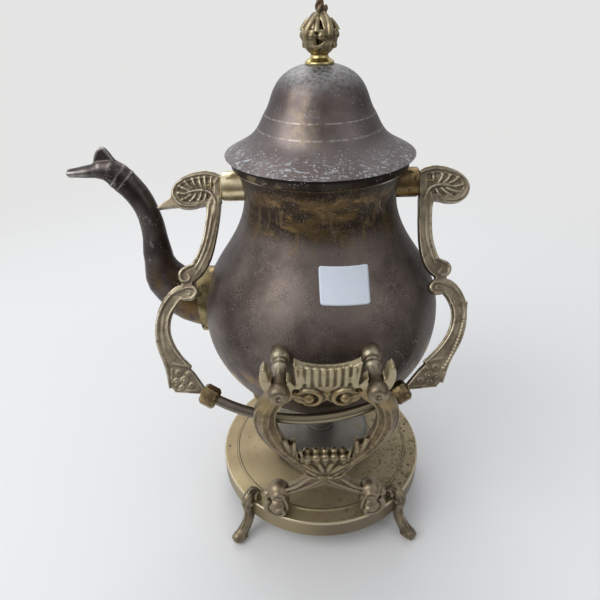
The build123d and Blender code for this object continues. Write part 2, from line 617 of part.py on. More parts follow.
def foot(azimuth):
    """A cast cabriole foot that hooks over the dish's edge and ends in a paw."""
    r, top, low = DISH_R, DISH_TOP_Z, DISH_TOP_Z - DISH_SKIRT
    out, toe = FOOT_REACH - DISH_R, FOOT_REACH
    peak, heel, ankle = (r - 5, top + FOOT_HORN), (r + 0.5 * out, 0), (r - 1, low + 2)
    front = Spline(peak, (r + 0.12 * out, top + 0.75 * FOOT_HORN), (r + 0.29 * out, top - 3),
                   (r + 0.2 * out, 0.62 * top), (r + 0.3 * out, 0.4 * top), (r + 0.62 * out, 0.235 * top),
                   (toe - 1.5, 0.2 * top), (toe, 0.1 * top), (toe - 1.5, 0))
    back = Spline(heel, (r + 0.16 * out, 0.24 * top), (r - 0.02 * out, 0.45 * top), ankle)
    outline = (front + Line((toe - 1.5, 0), heel) + back
               + Polyline(ankle, (r - 9, top), (r - 9, top + 0.7 * FOOT_HORN), peak))
    leg = extrude(Plane.XZ * make_face(outline), 0.5 * FOOT_W, both=True)
    scroll = Rot(90, 0, 0) * Cylinder(0.55 * FOOT_HORN, FOOT_W + 2.4)
    horn = Pos(r - 4.6, 0, top + 0.42 * FOOT_HORN) * scroll
    paw = Pos(toe - 5.5, 0, 0) * (Rot(90, 0, 0) * Cylinder(0.2 * top, FOOT_W + 2))
    paw -= Pos(toe - 5.5, 0, -FOOT_REACH) * Box(2 * FOOT_REACH, 2 * FOOT_REACH, 2 * FOOT_REACH)
    casting = Rot(0, 0, azimuth) * (leg + horn + paw) - dish_form(False)
    for rivet in foot_rivets():
        casting -= rivet
    return casting


def burner_pot():
    """The squat spirit pot: a drum with rounded shoulders and a hole for the wick tube."""
    z0, z1, r, t = DISH_TOP_Z, DISH_TOP_Z + BURNER_H, BURNER_R, BURNER_WALL
    e = 5.0

    def drum(inset):
        a, b, c = z0 + inset, z1 - inset, r - inset
        return turned(Polyline((0, a), (c - 1.5, a), (c, a + 1.5), (c, b - e))
                      + ThreePointArc((c, b - e), (c - 0.29 * e, b - 0.29 * e), (c - e, b))
                      + Polyline((c - e, b), (0, b), (0, a)))
    hole = rod(Vector(0, 0, z1 - 2 * t), Vector(0, 0, z1 + t), WICK_TUBE_R)
    return drum(0) - drum(t) - hole


def wick_tube():
    """The tube that stands in the pot's mouth and grips the wick."""
    z1 = DISH_TOP_Z + BURNER_H
    low, high = z1 - 5.0, z1 + WICK_TUBE_H
    return turned(Polyline((WICK_R, low), (WICK_TUBE_R, low), (WICK_TUBE_R, high), (WICK_R, high),
                           (WICK_R, low)))


def wick():
    z1 = DISH_TOP_Z + BURNER_H
    return rod(Vector(0, 0, DISH_TOP_Z + BURNER_WALL + 1), Vector(0, 0, z1 + WICK_TUBE_H + 2), WICK_R)


def snuffer():
    """A turned cap that drops over the wick tube and puts the flame out."""
    z0 = DISH_TOP_Z + BURNER_H
    inner, r = WICK_TUBE_R + SNUFFER_CLEAR, WICK_TUBE_R + SNUFFER_CLEAR + SNUFFER_WALL
    roof = z0 + WICK_TUBE_H + 3.0
    top = roof + SNUFFER_WALL
    return turned(Polyline((inner, z0), (r + 0.8, z0), (r + 0.8, z0 + 1.6), (r, z0 + 2), (r, top - 1.5),
                           (r - 1.5, top), (2, top), (1.5, top + 1.5), (3.4, top + 3.4), (2.4, top + 5),
                           (0, top + 5), (0, roof), (inner, roof), (inner, z0)))


SIDES = (("left", -1), ("right", 1))
ENDS = (("front", -1), ("rear", 1))

parts = {
    "base_dish": base_dish(),
    "foot_rivets": Compound(foot_rivets()), "frame_screws": Compound(frame_screws()),
    "kettle_body": kettle_body(), "kettle_bottom": kettle_bottom(), "neck_collar": neck_collar(),
    "spout": spout(), "spout_collar": spout_collar(),
    "lid_shell": lid_shell(), "lid_lip": lid_lip(), "finial": finial(), "finial_nut": finial_nut(),
    "bail_grip": grip(BAIL_PLANE),
    "burner_pot": burner_pot(), "wick_tube": wick_tube(), "wick": wick(), "snuffer_cap": snuffer(),
}
for azimuth in foot_azimuths():
    end = "rear" if sin(radians(azimuth)) > 0 else "front"
    side = "right" if cos(radians(azimuth)) > 0 else "left"
    parts["foot_" + end + "_" + side] = foot(azimuth)
for name, side in SIDES:
    parts["bail_socket_" + name] = socket(side)
    parts["bail_arm_" + name] = bail_arm(side)
    parts["bail_block_" + name] = bail_block(side)
    parts["bail_pivot_" + name] = pivot_pin(side)
for end_name, end_side in ENDS:
    parts["lyre_frame_" + end_name] = lyre_frame(end_side)
    for name, side in SIDES:
        parts["pin_" + end_name + "_" + name] = pin(side, end_side)

os.makedirs("parts", exist_ok=True)
for name, shape in parts.items():
    export_step(Pos(PLAN_CENTRE_X, 0, 0) * shape, "parts/" + name + ".step")
print("bail hangs", round(degrees(HANG), 2), "degrees forward; saddles at", round(SADDLE_Y, 2))
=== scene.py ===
import math

import bmesh
import bpy
import numpy as np
from mathutils import Matrix, Vector


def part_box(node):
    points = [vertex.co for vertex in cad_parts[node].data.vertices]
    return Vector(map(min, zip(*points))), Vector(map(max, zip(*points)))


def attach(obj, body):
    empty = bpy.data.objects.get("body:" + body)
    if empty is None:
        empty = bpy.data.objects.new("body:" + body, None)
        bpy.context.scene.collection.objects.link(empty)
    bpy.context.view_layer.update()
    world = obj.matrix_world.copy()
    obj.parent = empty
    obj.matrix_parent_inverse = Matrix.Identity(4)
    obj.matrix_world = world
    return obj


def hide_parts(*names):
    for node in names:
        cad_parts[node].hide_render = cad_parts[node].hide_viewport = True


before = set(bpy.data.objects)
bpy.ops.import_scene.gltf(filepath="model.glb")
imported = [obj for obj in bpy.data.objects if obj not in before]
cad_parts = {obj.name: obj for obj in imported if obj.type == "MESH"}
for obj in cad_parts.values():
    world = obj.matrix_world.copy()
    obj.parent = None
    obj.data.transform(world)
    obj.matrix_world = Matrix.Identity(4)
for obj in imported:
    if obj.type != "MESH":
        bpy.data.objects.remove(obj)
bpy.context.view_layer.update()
scene = bpy.context.scene
MM = 0.001

# ---- studio -------------------------------------------------------------------
# A pale paper floor that runs off into a pale backdrop, broad soft lamps, and a camera
# a forearm's length away that looks down on the kettle.

PAPER = (0.78, 0.78, 0.775)
FLOOR_HALF = 1.1


class Flow:
    """A value, colour or vector on its way through a finish; arithmetic on it adds the nodes."""

    def __init__(self, socket):
        self.socket = socket

    def kind(self):
        return "VALUE" if self.socket.type == "VALUE" else "VECTOR"

    def joined(self, operation, first, second, out=0):
        tree = self.socket.id_data
        spread = any(isinstance(side, tuple) or isinstance(side, Flow) and side.kind() == "VECTOR"
                     for side in (first, second))
        node = tree.nodes.new("ShaderNodeVectorMath" if spread else "ShaderNodeMath")
        node.operation = operation
        for socket, side in zip(node.inputs, (first, second)):
            if isinstance(side, Flow):
                tree.links.new(side.socket, socket)
            elif spread and not isinstance(side, tuple):
                socket.default_value = (side, side, side)
            else:
                socket.default_value = side
        return Flow(node.outputs[out])

    def __add__(self, other):
        return self.joined("ADD", self, other)

    def __radd__(self, other):
        return self.joined("ADD", other, self)

    def __sub__(self, other):
        return self.joined("SUBTRACT", self, other)

    def __rsub__(self, other):
        return self.joined("SUBTRACT", other, self)

    def __mul__(self, other):
        return self.joined("MULTIPLY", self, other)

    def __rmul__(self, other):
        return self.joined("MULTIPLY", other, self)

    def along(self, direction):
        """How far a vector reaches along a direction."""
        return self.joined("DOT_PRODUCT", self, direction, "Value")


class Finish:
    """A node tree in the making: a metal's finish, the paper's or the room's light."""

    def __init__(self, owner):
        self.owner = owner
        owner.use_nodes = True
        self.tree = owner.node_tree
        self.shader = next(node for node in self.tree.nodes if node.type in ("BSDF_PRINCIPLED", "BACKGROUND"))
        self.place = self.node("TexCoord", out="Generated" if isinstance(owner, bpy.types.World) else "Object")

    def node(self, kind, settings=None, out=0, **inputs):
        """Any node by its type, its settings, the output wanted and what goes into its sockets."""
        node = self.tree.nodes.new("ShaderNode" + kind)
        for key, value in (settings or {}).items():
            setattr(node, key, value)
        for key, value in inputs.items():
            self.put(node.inputs[key.replace("_", " ")], value)
        return Flow(node.outputs[out])

    def put(self, socket, value):
        if isinstance(value, Flow):
            self.tree.links.new(value.socket, socket)
        elif socket.type == "RGBA":
            socket.default_value = (*value, 1)
        else:
            socket.default_value = value

    def set(self, **values):
        """Values or flows for the shader's own sockets."""
        for key, value in values.items():
            self.put(self.shader.inputs[key.replace("_", " ")], value)

    def mix(self, one, other, share):
        """One colour where share is 0 and the other where it is 1."""
        node = self.tree.nodes.new("ShaderNodeMix")
        node.data_type = "RGBA"
        for index, value in ((0, share), (6, one), (7, other)):
            self.put(node.inputs[index], value)
        return Flow(node.outputs[2])

    def ease(self, value, low, high):
        """0 at low, 1 at high, with a soft turn at both."""
        return self.node("MapRange", {"interpolation_type": "SMOOTHSTEP"}, Value=value, From_Min=low, From_Max=high)


def linked(name, data):
    piece = bpy.data.objects.new(name, data)
    scene.collection.objects.link(piece)
    return piece


def lamp(name, place, aim, size, power, tone=(1, 1, 1)):
    light = bpy.data.lights.new(name, "AREA")
    light.shape = "DISK"
    light.size = size
    light.energy = power
    light.color = tone
    piece = linked(name, light)
    piece.location = place
    piece.rotation_euler = (Vector(aim) - Vector(place)).to_track_quat("-Z", "Y").to_euler()


floor_mesh = bpy.data.meshes.new("floor")
h = FLOOR_HALF
floor_mesh.from_pydata([(-h, -h, 0), (h, -h, 0), (h, h, 0), (-h, h, 0)], [], [(0, 1, 2, 3)])
floor = linked("floor", floor_mesh)
paper = Finish(bpy.data.materials.new("floor_paper"))
far = paper.ease(paper.node("VectorMath", {"operation": "LENGTH"}, "Value", Vector=paper.place), 0.35, 1.0)
paper.set(Base_Color=PAPER, Roughness=0.9, Alpha=1 - far)
floor_mesh.materials.append(paper.owner)

AIM = (0.02, 0, 0.2)
lamp("window", (-1.1, -0.7, 1.35), AIM, 1.4, 13)
lamp("fill", (1.3, -0.9, 0.9), AIM, 1.4, 3)
lamp("top", (-0.15, 1.15, 1.62), AIM, 1.3, 10)

room = Finish(bpy.data.worlds.new("room"))
scene.world = room.owner
lit_side = room.ease(room.place.along((-0.45, 0.35, 0.8)), -0.6, 0.9)
walls = room.mix((0.08, 0.075, 0.07), (0.74, 0.76, 0.80), lit_side)
room.set(Color=room.mix(walls, PAPER, room.node("LightPath", out="Is Camera Ray")), Strength=1.0)

CAMERA_AT = (0.0201, -0.3306, 0.3854)
CAMERA_PITCH = 31.62
CAMERA_YAW = -0.4
CAMERA_ROLL = -1.48
CAMERA_LENS = 31.17
lens = bpy.data.cameras.new("camera")
lens.lens = CAMERA_LENS
lens.sensor_width = 36
lens.clip_start = 0.01
camera = linked("camera", lens)
camera.matrix_world = (Matrix.Translation(CAMERA_AT) @ Matrix.Rotation(math.radians(-CAMERA_YAW), 4, "Z")
                       @ Matrix.Rotation(math.radians(90 - CAMERA_PITCH), 4, "X")
                       @ Matrix.Rotation(math.radians(CAMERA_ROLL), 4, "Z"))
scene.camera = camera
scene.view_settings.view_transform = "Standard"

# ---- base dish ------------------------------------------------------------------
# The spun brass dish, turned over: a flat plate inside a turned step, a lower band and a
# skirt. The plate is rubbed pale, with a painted highlight at its left front, and its right
# side is spotted green-brown with damp.

PLATE_PALE, PLATE_DEEP = (0.40, 0.325, 0.195), (0.27, 0.21, 0.12)
SKIRT_BROWN = (0.20, 0.155, 0.10)
RIM_PAINTED_HIGHLIGHT = (0.58, 0.49, 0.33)
DAMP_GREEN = (0.095, 0.085, 0.045)

body_low, body_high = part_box("kettle_body")
AXIS_X = 0.5 * (body_low.x + body_high.x)
dish_low, dish_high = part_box("base_dish")


class Metal(Finish):
    """A metal's surface, laid down coat by coat: its tone, roughness, bareness and height in mm."""

    def __init__(self, name, deep, pale, rough=0.42, clouds=0.03):
        super().__init__(bpy.data.materials.new(name))
        self.rough = rough
        self.metal = 1.0
        self.height = self.cloud(0.0012, 3) * 0.03
        self.tone = self.mix(deep, pale, self.patches(clouds, 0.36, 0.64, 5))

    def cloud(self, size, detail=4.0, place=None):
        """Soft random patches about that many metres across, around a half."""
        return self.node("TexNoise", Vector=place or self.place, Scale=1 / size, Detail=detail, Roughness=0.55)

    def patches(self, size, low, high, detail=4.0, place=None):
        return self.ease(self.cloud(size, detail, place), low, high)

    def dots(self, size, reach, place=None):
        """Small round spots, one in each cell of that many metres."""
        cells = self.node("TexVoronoi", out="Distance", Vector=place or self.place, Scale=1 / size)
        return self.ease(cells, reach, 0.4 * reach)

    def axes(self):
        """The place's x from the kettle's own axis, its y and its height."""
        split = self.node("SeparateXYZ", Vector=self.place - (AXIS_X, 0, 0)).socket.node
        return [Flow(socket) for socket in split.outputs]

    def radius(self):
        """Distance from the kettle's upright axis."""
        return self.node("VectorMath", {"operation": "LENGTH"}, "Value", Vector=(self.place - (AXIS_X, 0, 0)) * (1, 1, 0))

    def line(self, value, middle, half):
        """1 along a thin line where the value passes its middle."""
        return self.ease(self.node("Math", {"operation": "ABSOLUTE"}, Value=value - middle), half, 0.5 * half)

    def lay(self, mask, tone=None, rough=None, metal=None, proud=0.0):
        """A coat over what is there already, where the mask is 1."""
        if tone:
            self.tone = self.mix(self.tone, tone, mask)
        if rough is not None:
            self.rough = self.rough + mask * (rough - self.rough)
        if metal is not None:
            self.metal = self.metal + mask * (metal - self.metal)
        if proud:
            self.height = self.height + mask * proud

    def on(self, *nodes):
        """Closes the coats and lays the finish on CAD pieces that keep their own shape."""
        self.set(Base_Color=self.tone, Roughness=self.rough, Metallic=self.metal,
                 Normal=self.node("Bump", Height=self.height, Distance=MM))
        for name in nodes:
            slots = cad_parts[name].data.materials
            slots.clear()
            slots.append(self.owner)
        return self


plate = Metal("dish_brass", PLATE_DEEP, PLATE_PALE, 0.5, 0.05)
plate.metal = 0.7
x, y, z = plate.axes()
edge = plate.radius()
plate.lay(plate.patches(0.006, 0.54, 0.66), (0.30, 0.225, 0.12))
damp = plate.ease(x, -0.005, 0.06)
plate.lay(damp * 0.6, (0.19, 0.15, 0.085), 0.6, 0.55)
plate.lay(damp * plate.patches(0.0015, 0.50, 0.58) * plate.patches(0.008, 0.40, 0.58), DAMP_GREEN, 0.7, 0.5, 0.02)
plate.lay(damp * plate.patches(0.004, 0.60, 0.66), (0.06, 0.05, 0.028), 0.75, 0.4, 0.02)
plate.lay(plate.dots(0.0085, 0.16) * plate.patches(0.03, 0.45, 0.55), (0.04, 0.032, 0.018), 0.8, 0.3, -0.04)
plate.lay(plate.ease(z, dish_high.z - 0.0013, dish_high.z - 0.0022), SKIRT_BROWN, 0.46)
rim = dish_high.x - AXIS_X
plate.lay(plate.ease(edge, rim - 0.002, rim - 0.004) * plate.ease(z, dish_high.z - 0.0013, dish_high.z - 0.0022),
          (0.36, 0.305, 0.215), 0.44)
# Painted highlight: a pale yellow sheen laid on the plate's left front.
plate.lay(plate.ease(x, 0.01, -0.03) * plate.ease(y, -0.02, -0.05) * 0.6, (0.44, 0.36, 0.20), 0.42)
plate.lay(plate.line(edge, 0.0722, 0.0004), (0.07, 0.055, 0.03), 0.6, None, -0.1)
# Painted highlight: a pale line along the top of the rim.
plate.lay(plate.line(edge, rim - 0.0004, 0.0009) * plate.ease(z, dish_high.z - 0.0032, dish_high.z - 0.0022),
          RIM_PAINTED_HIGHLIGHT, 0.26)
plate.on("base_dish")

steel = Metal("screw_steel", (0.13, 0.12, 0.11), (0.28, 0.26, 0.24), 0.45, 0.003)
steel.lay(steel.patches(0.002, 0.55, 0.65), (0.16, 0.08, 0.04), 0.8, 0.4, 0.02)
steel.on("foot_rivets", "frame_screws")

# ---- cabriole feet ----------------------------------------------------------------
# Four cast brass feet, each hooked over the dish's edge and riveted through its skirt.
# A scroll rises over the rim, the leg has a raised spine, and the paw has three toes.

CAST_DEEP, CAST_PALE = (0.15, 0.105, 0.055), (0.26, 0.195, 0.105)
CAST_ROSY = (0.24, 0.145, 0.095)
CAST_DARK = (0.06, 0.045, 0.03)
CAST_RUBBED = (0.50, 0.42, 0.28)
FOOT_TURN = math.radians(47)
FOOT_GRAIN = 0.45
PAW_FROM = 0.100
WEAR_PASSES = 8
CRUMB = 200


class Relief:
    """Raised threads and beads of a casting, laid in the piece's own places and in millimetres."""

    def __init__(self, spot):
        self.spot = spot
        self.lines = bpy.data.curves.new("threads", "CURVE")
        self.lines.dimensions = "3D"
        self.lines.bevel_depth = 1
        self.lines.bevel_resolution = 2
        self.lines.use_fill_caps = True
        self.beads = bmesh.new()

    def thread(self, points, *widths, closed=False):
        """A round thread through the places, its half width running through the widths."""
        count = len(points)
        spline = self.lines.splines.new("NURBS")
        spline.points.add(count - 1)
        spread = np.interp(np.linspace(0, 1, count), np.linspace(0, 1, len(widths)), widths)
        for knot, point, width in zip(spline.points, points, spread):
            knot.co = (*self.spot(*point), 1)
            knot.radius = width * MM
        spline.order_u = min(4, count)
        spline.resolution_u = 5
        spline.use_cyclic_u = closed
        spline.use_endpoint_u = not closed

    def ring(self, middle, r, width, squash=1.0, height=0.0):
        """A closed thread round a place."""
        turns = [math.tau * k / 8 for k in range(8)]
        self.thread([(middle[0] + r * math.cos(t), middle[1] + squash * r * math.sin(t), height) for t in turns],
                    width, closed=True)

    def bead(self, place, r):
        bmesh.ops.create_icosphere(self.beads, subdivisions=3, radius=r * MM,
                                   matrix=Matrix.Translation(self.spot(*place)))


def cast(name, blank, reliefs, grain, soft, turn=0.0):
    """A casting's skin: its plain blank and its relief melted together, turned about the kettle's axis."""
    melt = bmesh.new()
    melt.from_mesh(blank)
    for relief in reliefs:
        strung = linked("strung", relief.lines)
        bpy.context.view_layer.update()
        threads = bpy.data.meshes.new_from_object(strung.evaluated_get(bpy.context.evaluated_depsgraph_get()))
        melt.from_mesh(threads)
        beads = bpy.data.meshes.new("beads")
        relief.beads.to_mesh(beads)
        melt.from_mesh(beads)
        bpy.data.objects.remove(strung)
    raw = bpy.data.meshes.new(name)
    melt.to_mesh(raw)
    piece = linked(name, raw)
    skin = piece.modifiers.new("skin", "REMESH")
    skin.mode = "VOXEL"
    skin.voxel_size = grain * MM
    ease = piece.modifiers.new("ease", "SMOOTH")
    ease.factor = 0.5
    ease.iterations = soft
    bpy.context.view_layer.update()
    piece.data = bpy.data.meshes.new_from_object(piece.evaluated_get(bpy.context.evaluated_depsgraph_get()))
    piece.modifiers.clear()
    piece.data.name = name
    shed_crumbs(piece.data)
    mark_wear(piece.data, grain)
    about = Matrix.Translation((AXIS_X, 0, 0))
    piece.data.transform(about @ Matrix.Rotation(turn, 4, "Z") @ about.inverted())
    piece.data.shade_smooth()
    return piece


def shed_crumbs(skin):
    """Takes out the loose specks that the melting can leave inside a casting."""
    melt = bmesh.new()
    melt.from_mesh(skin)
    seen, crumbs = set(), []
    for start in melt.verts:
        if start in seen:
            continue
        seen.add(start)
        shell = [start]
        for corner in shell:
            for edge in corner.link_edges:
                other = edge.other_vert(corner)
                if other not in seen:
                    seen.add(other)
                    shell.append(other)
        if len(shell) < CRUMB:
            crumbs += shell
    bmesh.ops.delete(melt, geom=crumbs, context="VERTS")
    melt.to_mesh(skin)
    melt.free()


def mark_wear(skin, grain):
    """Keeps how proud each point stands of the skin round it: a half is level, more is rubbed."""
    count = len(skin.vertices)
    ends = np.empty(2 * len(skin.edges), np.int64)
    skin.edges.foreach_get("vertices", ends)
    one, other = ends[::2], ends[1::2]
    links = np.bincount(ends, minlength=count)[:, None]
    flat = np.empty(3 * count)
    skin.vertices.foreach_get("co", flat)
    points = flat.reshape(-1, 3)
    level = points
    for _ in range(WEAR_PASSES):
        total = np.stack([np.bincount(one, level[other, k], count) + np.bincount(other, level[one, k], count)
                          for k in range(3)], 1)
        level = 0.4 * level + 0.6 * total / np.maximum(links, 1)
    normals = np.empty(3 * count, np.float32)
    skin.vertices.foreach_get("normal", normals)
    proud = ((points - level) * normals.reshape(-1, 3)).sum(1) / MM
    proudness = skin.attributes.new("proudness", "FLOAT", "POINT")
    proudness.data.foreach_set("value", np.clip(0.5 + 2.2 * proud, 0, 1).astype(np.float32))


def settle(piece, finish, body, slot, *replaced):
    """Gives a new piece its finish, and says what it rides on and stands for."""
    piece.data.materials.clear()
    piece.data.materials.append(finish.owner)
    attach(piece, body)
    if replaced:
        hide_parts(*replaced)


def cast_brass(name, deep=CAST_DEEP, pale=CAST_PALE, rosy=CAST_ROSY, rubbed=CAST_RUBBED, hollow=CAST_DARK):
    """Cast brass, dark in its recesses with patina and painted shade, and rubbed pale on its edges."""
    brass = Metal(name, deep, pale, 0.42, 0.012)
    brass.metal = 0.85
    brass.lay(brass.patches(0.011, 0.58, 0.70) * 0.8, rosy, 0.45)
    brass.lay(brass.patches(0.005, 0.52, 0.66, 5, brass.place + (0.4, 0.2, 0.1)) * 0.6, hollow, 0.5)
    proudness = brass.node("Attribute", {"attribute_name": "proudness"}, "Fac")
    # Dark in the hollows: partly patina, partly painted shade where the relief sinks in.
    brass.lay(brass.ease(proudness, 0.47, 0.12) * 0.85, hollow, 0.6, 0.75)
    brass.lay(brass.ease(proudness, 0.56, 0.9) * brass.patches(0.004, 0.3, 0.55), rubbed, 0.3)
    brass.lay(brass.dots(0.0024, 0.2) * brass.patches(0.008, 0.5, 0.6), CAST_DARK, 0.7, 0.5, -0.04)
    return brass


def foot_spot(out, across, height):
    """A foot's own places: out from the kettle's axis, across the foot, and up."""
    turn = -FOOT_TURN
    return (AXIS_X + MM * (out * math.cos(turn) - across * math.sin(turn)),
            MM * (out * math.sin(turn) + across * math.cos(turn)), MM * height)


foot_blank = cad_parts["foot_front_right"].data.copy()
across = Vector((math.sin(FOOT_TURN), math.cos(FOOT_TURN), 0))
outward = Vector((math.cos(FOOT_TURN), -math.sin(FOOT_TURN), 0))
for corner in foot_blank.vertices:
    place = corner.co - Vector((AXIS_X, 0, 0))
    corner.co -= 0.4 * place.dot(across) * across + 0.8 * max(place.dot(outward) - PAW_FROM, 0) * outward
foot_relief = Relief(foot_spot)
foot_relief.thread([(78.5, 0, 38.5), (81.5, 0, 42.4), (86.5, 0, 41.6), (89.6, 0, 36.5), (88.6, 0, 29.5), (88.0, 0, 22.0),
                    (91.0, 0, 13.5), (96.6, 0, 7.4), (101.5, 0, 5.0)], 2.6, 3.6, 4.2, 4.6, 3.8, 3.4, 3.6, 4.2, 4.6)
foot_relief.bead((101.2, 0, 4.9), 4.8)
for side in (-1, 1):
    foot_relief.thread([(80.6 + 2.9 * math.cos(t), side * 4.3, 39.0 + 2.9 * math.sin(t))
                        for t in np.linspace(-2.2, 4.2, 9)], 1.5, 1.4, 0.7)
    foot_relief.bead((87.8, side * 3.2, 35.6), 2.4)
    foot_relief.thread([(97.5, side * 3.6, 5.4), (101.6, side * 4.0, 5.6), (104.6, side * 2.8, 3.4)], 1.2, 1.9, 1.3)
foot_relief.thread([(85.0, 0, 45.2), (91.5, 0, 40.5), (92.2, 0, 34.0), (91.0, 0, 25.0), (93.4, 0, 16.0), (99.0, 0, 10.6)],
                   0.7, 1.0, 0.7)
foot_brass = cast_brass("foot_brass", (0.13, 0.105, 0.07), (0.29, 0.235, 0.155))
for end, side, turn in (("front", "right", 0), ("front", "left", math.tau / 2 + 2 * FOOT_TURN),
                        ("rear", "right", 2 * FOOT_TURN), ("rear", "left", math.tau / 2)):
    node = "foot_" + end + "_" + side
    settle(cast("paw_" + end + "_" + side, foot_blank, [foot_relief], FOOT_GRAIN, 8, turn),
           foot_brass.on(), "stand", "cast_brass", node)

# ---- lyre frames -------------------------------------------------------------------
# Two cast brass frames lean outwards from the dish and carry the kettle's pins. Each has a
# fluted comb over two volutes, round arms with a raised spine, a shell and rolled feet.

LYRE_FOOT_Y, LYRE_FOOT_Z = -68.0, 36.0
pin_low, pin_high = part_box("pin_front_left")
LYRE_LEAN = math.radians(12.76)
LYRE_GRAIN = 0.6


def lyre_spot(across, up, proud=3.5):
    """A frame's own places: across it, up along its lean, and out from its middle plane."""
    return (AXIS_X + MM * across,
            MM * (LYRE_FOOT_Y - up * math.sin(LYRE_LEAN) - proud * math.cos(LYRE_LEAN)),
            MM * (LYRE_FOOT_Z + up * math.cos(LYRE_LEAN) - proud * math.sin(LYRE_LEAN)))


lyre_relief = Relief(lyre_spot)
for k in range(8):
    rib = 4.27 * (k - 3.5)
    crest = 172.5 + 0.010 * rib * rib
    lyre_relief.thread([(rib, 156.5, 1.8), (rib, 163, 2.1), (rib, 170, 2.1), (rib, crest, 1.8)], 1.5, 1.75, 1.6)
for side in (-1, 1):
    def mirrored(points):
        return [(side * place[0], *place[1:]) for place in points]

    lyre_relief.thread(mirrored([(16.6, 156, 2.4), (17.4, 165, 2.6), (18.6, 177.6, 2.2)]), 0.9, 1.1, 0.6)
    lyre_relief.thread(mirrored([(12.8, 160, 2.4), (14.2, 170, 2.6), (18.4, 177.4, 2.2)]), 0.6, 0.8, 0.5)
    lyre_relief.thread(mirrored([(17.5, 151.5), (14, 154.3), (9, 154.4), (4.6, 151.2), (3.2, 146.3),
                                 (5.2, 141.4), (9.2, 139.8), (13.4, 141.2)]), 0.8, 1.5, 1.5, 0.7)
    lyre_relief.bead((side * 10.6, 146.6, 2.6), 3.5)
    lyre_relief.thread(mirrored([(13, 146.2, 2.4), (18.5, 148.2, 2.6), (24, 151.5, 2.6)]), 1.2, 1.3, 1.6)
    lyre_relief.thread(mirrored([(15.5, 155.5, 2.4), (18.5, 156.5, 2.6), (20.5, 158.5, 2.2)]), 1.0, 1.3, 0.9)
    lyre_relief.thread(mirrored([(35.2, 153, 2.6), (38.2, 162, 2.4), (38.0, 169, 2.2), (35.6, 174, 2.0)]), 1.0, 1.3, 0.6)
    lyre_relief.thread(mirrored([(31.5, 160, 2.4), (34.3, 166, 2.4), (35.4, 173, 2.0)]), 0.8, 1.2, 0.5)
    lyre_relief.thread(mirrored([(29.5, 148, 1.6), (34.9, 141, 1.9), (38.4, 128, 2.0), (38.0, 114, 2.0),
                                 (33.8, 98.5, 2.0), (26.6, 83, 1.8), (19.4, 71, 1.6), (13.5, 62, 1.4)]),
                       4.2, 5.2, 5.3, 5.3, 5.0, 4.5, 3.6, 2.6)
    lyre_relief.thread(mirrored([(31.0, 150, 4.4), (34.8, 141, 5.6), (37.2, 131, 5.8), (38.2, 121, 5.4)]), 0.7, 1.0, 0.4)
    lyre_relief.thread(mirrored([(27.2, 100, 2.6), (24.8, 93, 3.2), (23.6, 84, 3.0)]), 1.6, 2.8, 1.6)
    lyre_relief.thread(mirrored([(20.6, 96, 2.2), (21.0, 89, 2.8), (21.6, 81, 2.6)]), 1.3, 2.4, 1.6)
    lyre_relief.thread(mirrored([(17.2, 86, 2.0), (15.6, 81, 3.0), (15.4, 73, 3.0)]), 0.6, 1.7, 1.3)
    for cup in (0.0, 6.2, 12.4) if side > 0 else (6.2, 12.4):
        lyre_relief.thread([(side * cup, 66, 1.8), (side * cup, 71.5, 2.2), (side * cup, 75.5, 1.8)], 2.0, 2.9, 2.9)
        lyre_relief.bead((side * cup, 76.2, 1.8), 3.2)
        lyre_relief.bead((side * cup, 77.6, -1.8), 3.0)
    lyre_relief.thread(mirrored([(1.5, 56), (4.5, 62, 4.2), (10.5, 67.5, 3.8), (15.5, 70, 3.0)]), 1.4, 3.0, 2.8, 1.5)
    lyre_relief.thread(mirrored([(1.2, 57), (1.8, 64, 4.2), (5.0, 71, 3.4)]), 1.6, 2.8, 1.6)
    lyre_relief.thread(mirrored([(2.5, 53), (7.6, 56.5, 4.0), (13.2, 62, 3.2)]), 1.4, 2.6, 1.3)
    lyre_relief.thread(mirrored([(3.0, 50.5), (8.4, 50.5, 3.8), (14.2, 54.5, 3.0)]), 1.2, 2.1, 1.0)
    lyre_relief.bead((side * 3.4, 54.6, 4.6), 2.4)
    lyre_relief.thread(mirrored([(2.5, 46, 3.2), (8.5, 40.5, 3.4), (16.5, 33.8, 3.4), (25, 28.4, 3.4),
                                 (31, 26.4, 3.6)]), 1.1, 1.7, 1.8, 1.6)
    lyre_relief.thread(mirrored([(8.5, 49.5, 3.0), (13.5, 46, 3.3), (17, 40.5, 3.4), (21.5, 35.0, 3.4),
                                 (28.5, 31.4, 3.4)]), 0.9, 1.5, 1.5, 1.1)
    lyre_relief.bead((side * 34.2, 27.0, 0.8), 8.2)
    lyre_relief.ring((side * 34.2, 27.6), 4.8, 1.2, height=7.3)
    lyre_relief.bead((side * 34.2, 27.6, 8.2), 1.9)
    lyre_relief.thread([(side * 38.6, 26 + 6.6 * math.sin(t), 0.6 + 6.8 * math.cos(t))
                        for t in np.linspace(-1.3, 2.4, 7)], 0.8, 1.5, 0.8)
    lyre_relief.bead((side * 42.6, 25.5, 2.6), 3.3)
    lyre_relief.bead((side * 35.0, 9.8, 2.6), 8.5)
    lyre_relief.thread(mirrored([(41.6, 18.5, 4.0), (45.4, 13.0, 5.0), (44.0, 5.6, 6.0), (37.6, 2.6, 9.0),
                                 (31.0, 5.0, 10.2), (29.8, 11.4, 10.2), (34.4, 14.2, 10.0), (37.6, 10.8, 11.0)]),
                       2.2, 2.6, 2.2, 1.9, 1.6, 1.3)
    lyre_relief.thread(mirrored([(30.5, 22, 5.6), (27.8, 16, 7.4), (27.4, 9, 8.0), (29.2, 3.4, 7.2)]), 1.2, 1.7, 1.4)

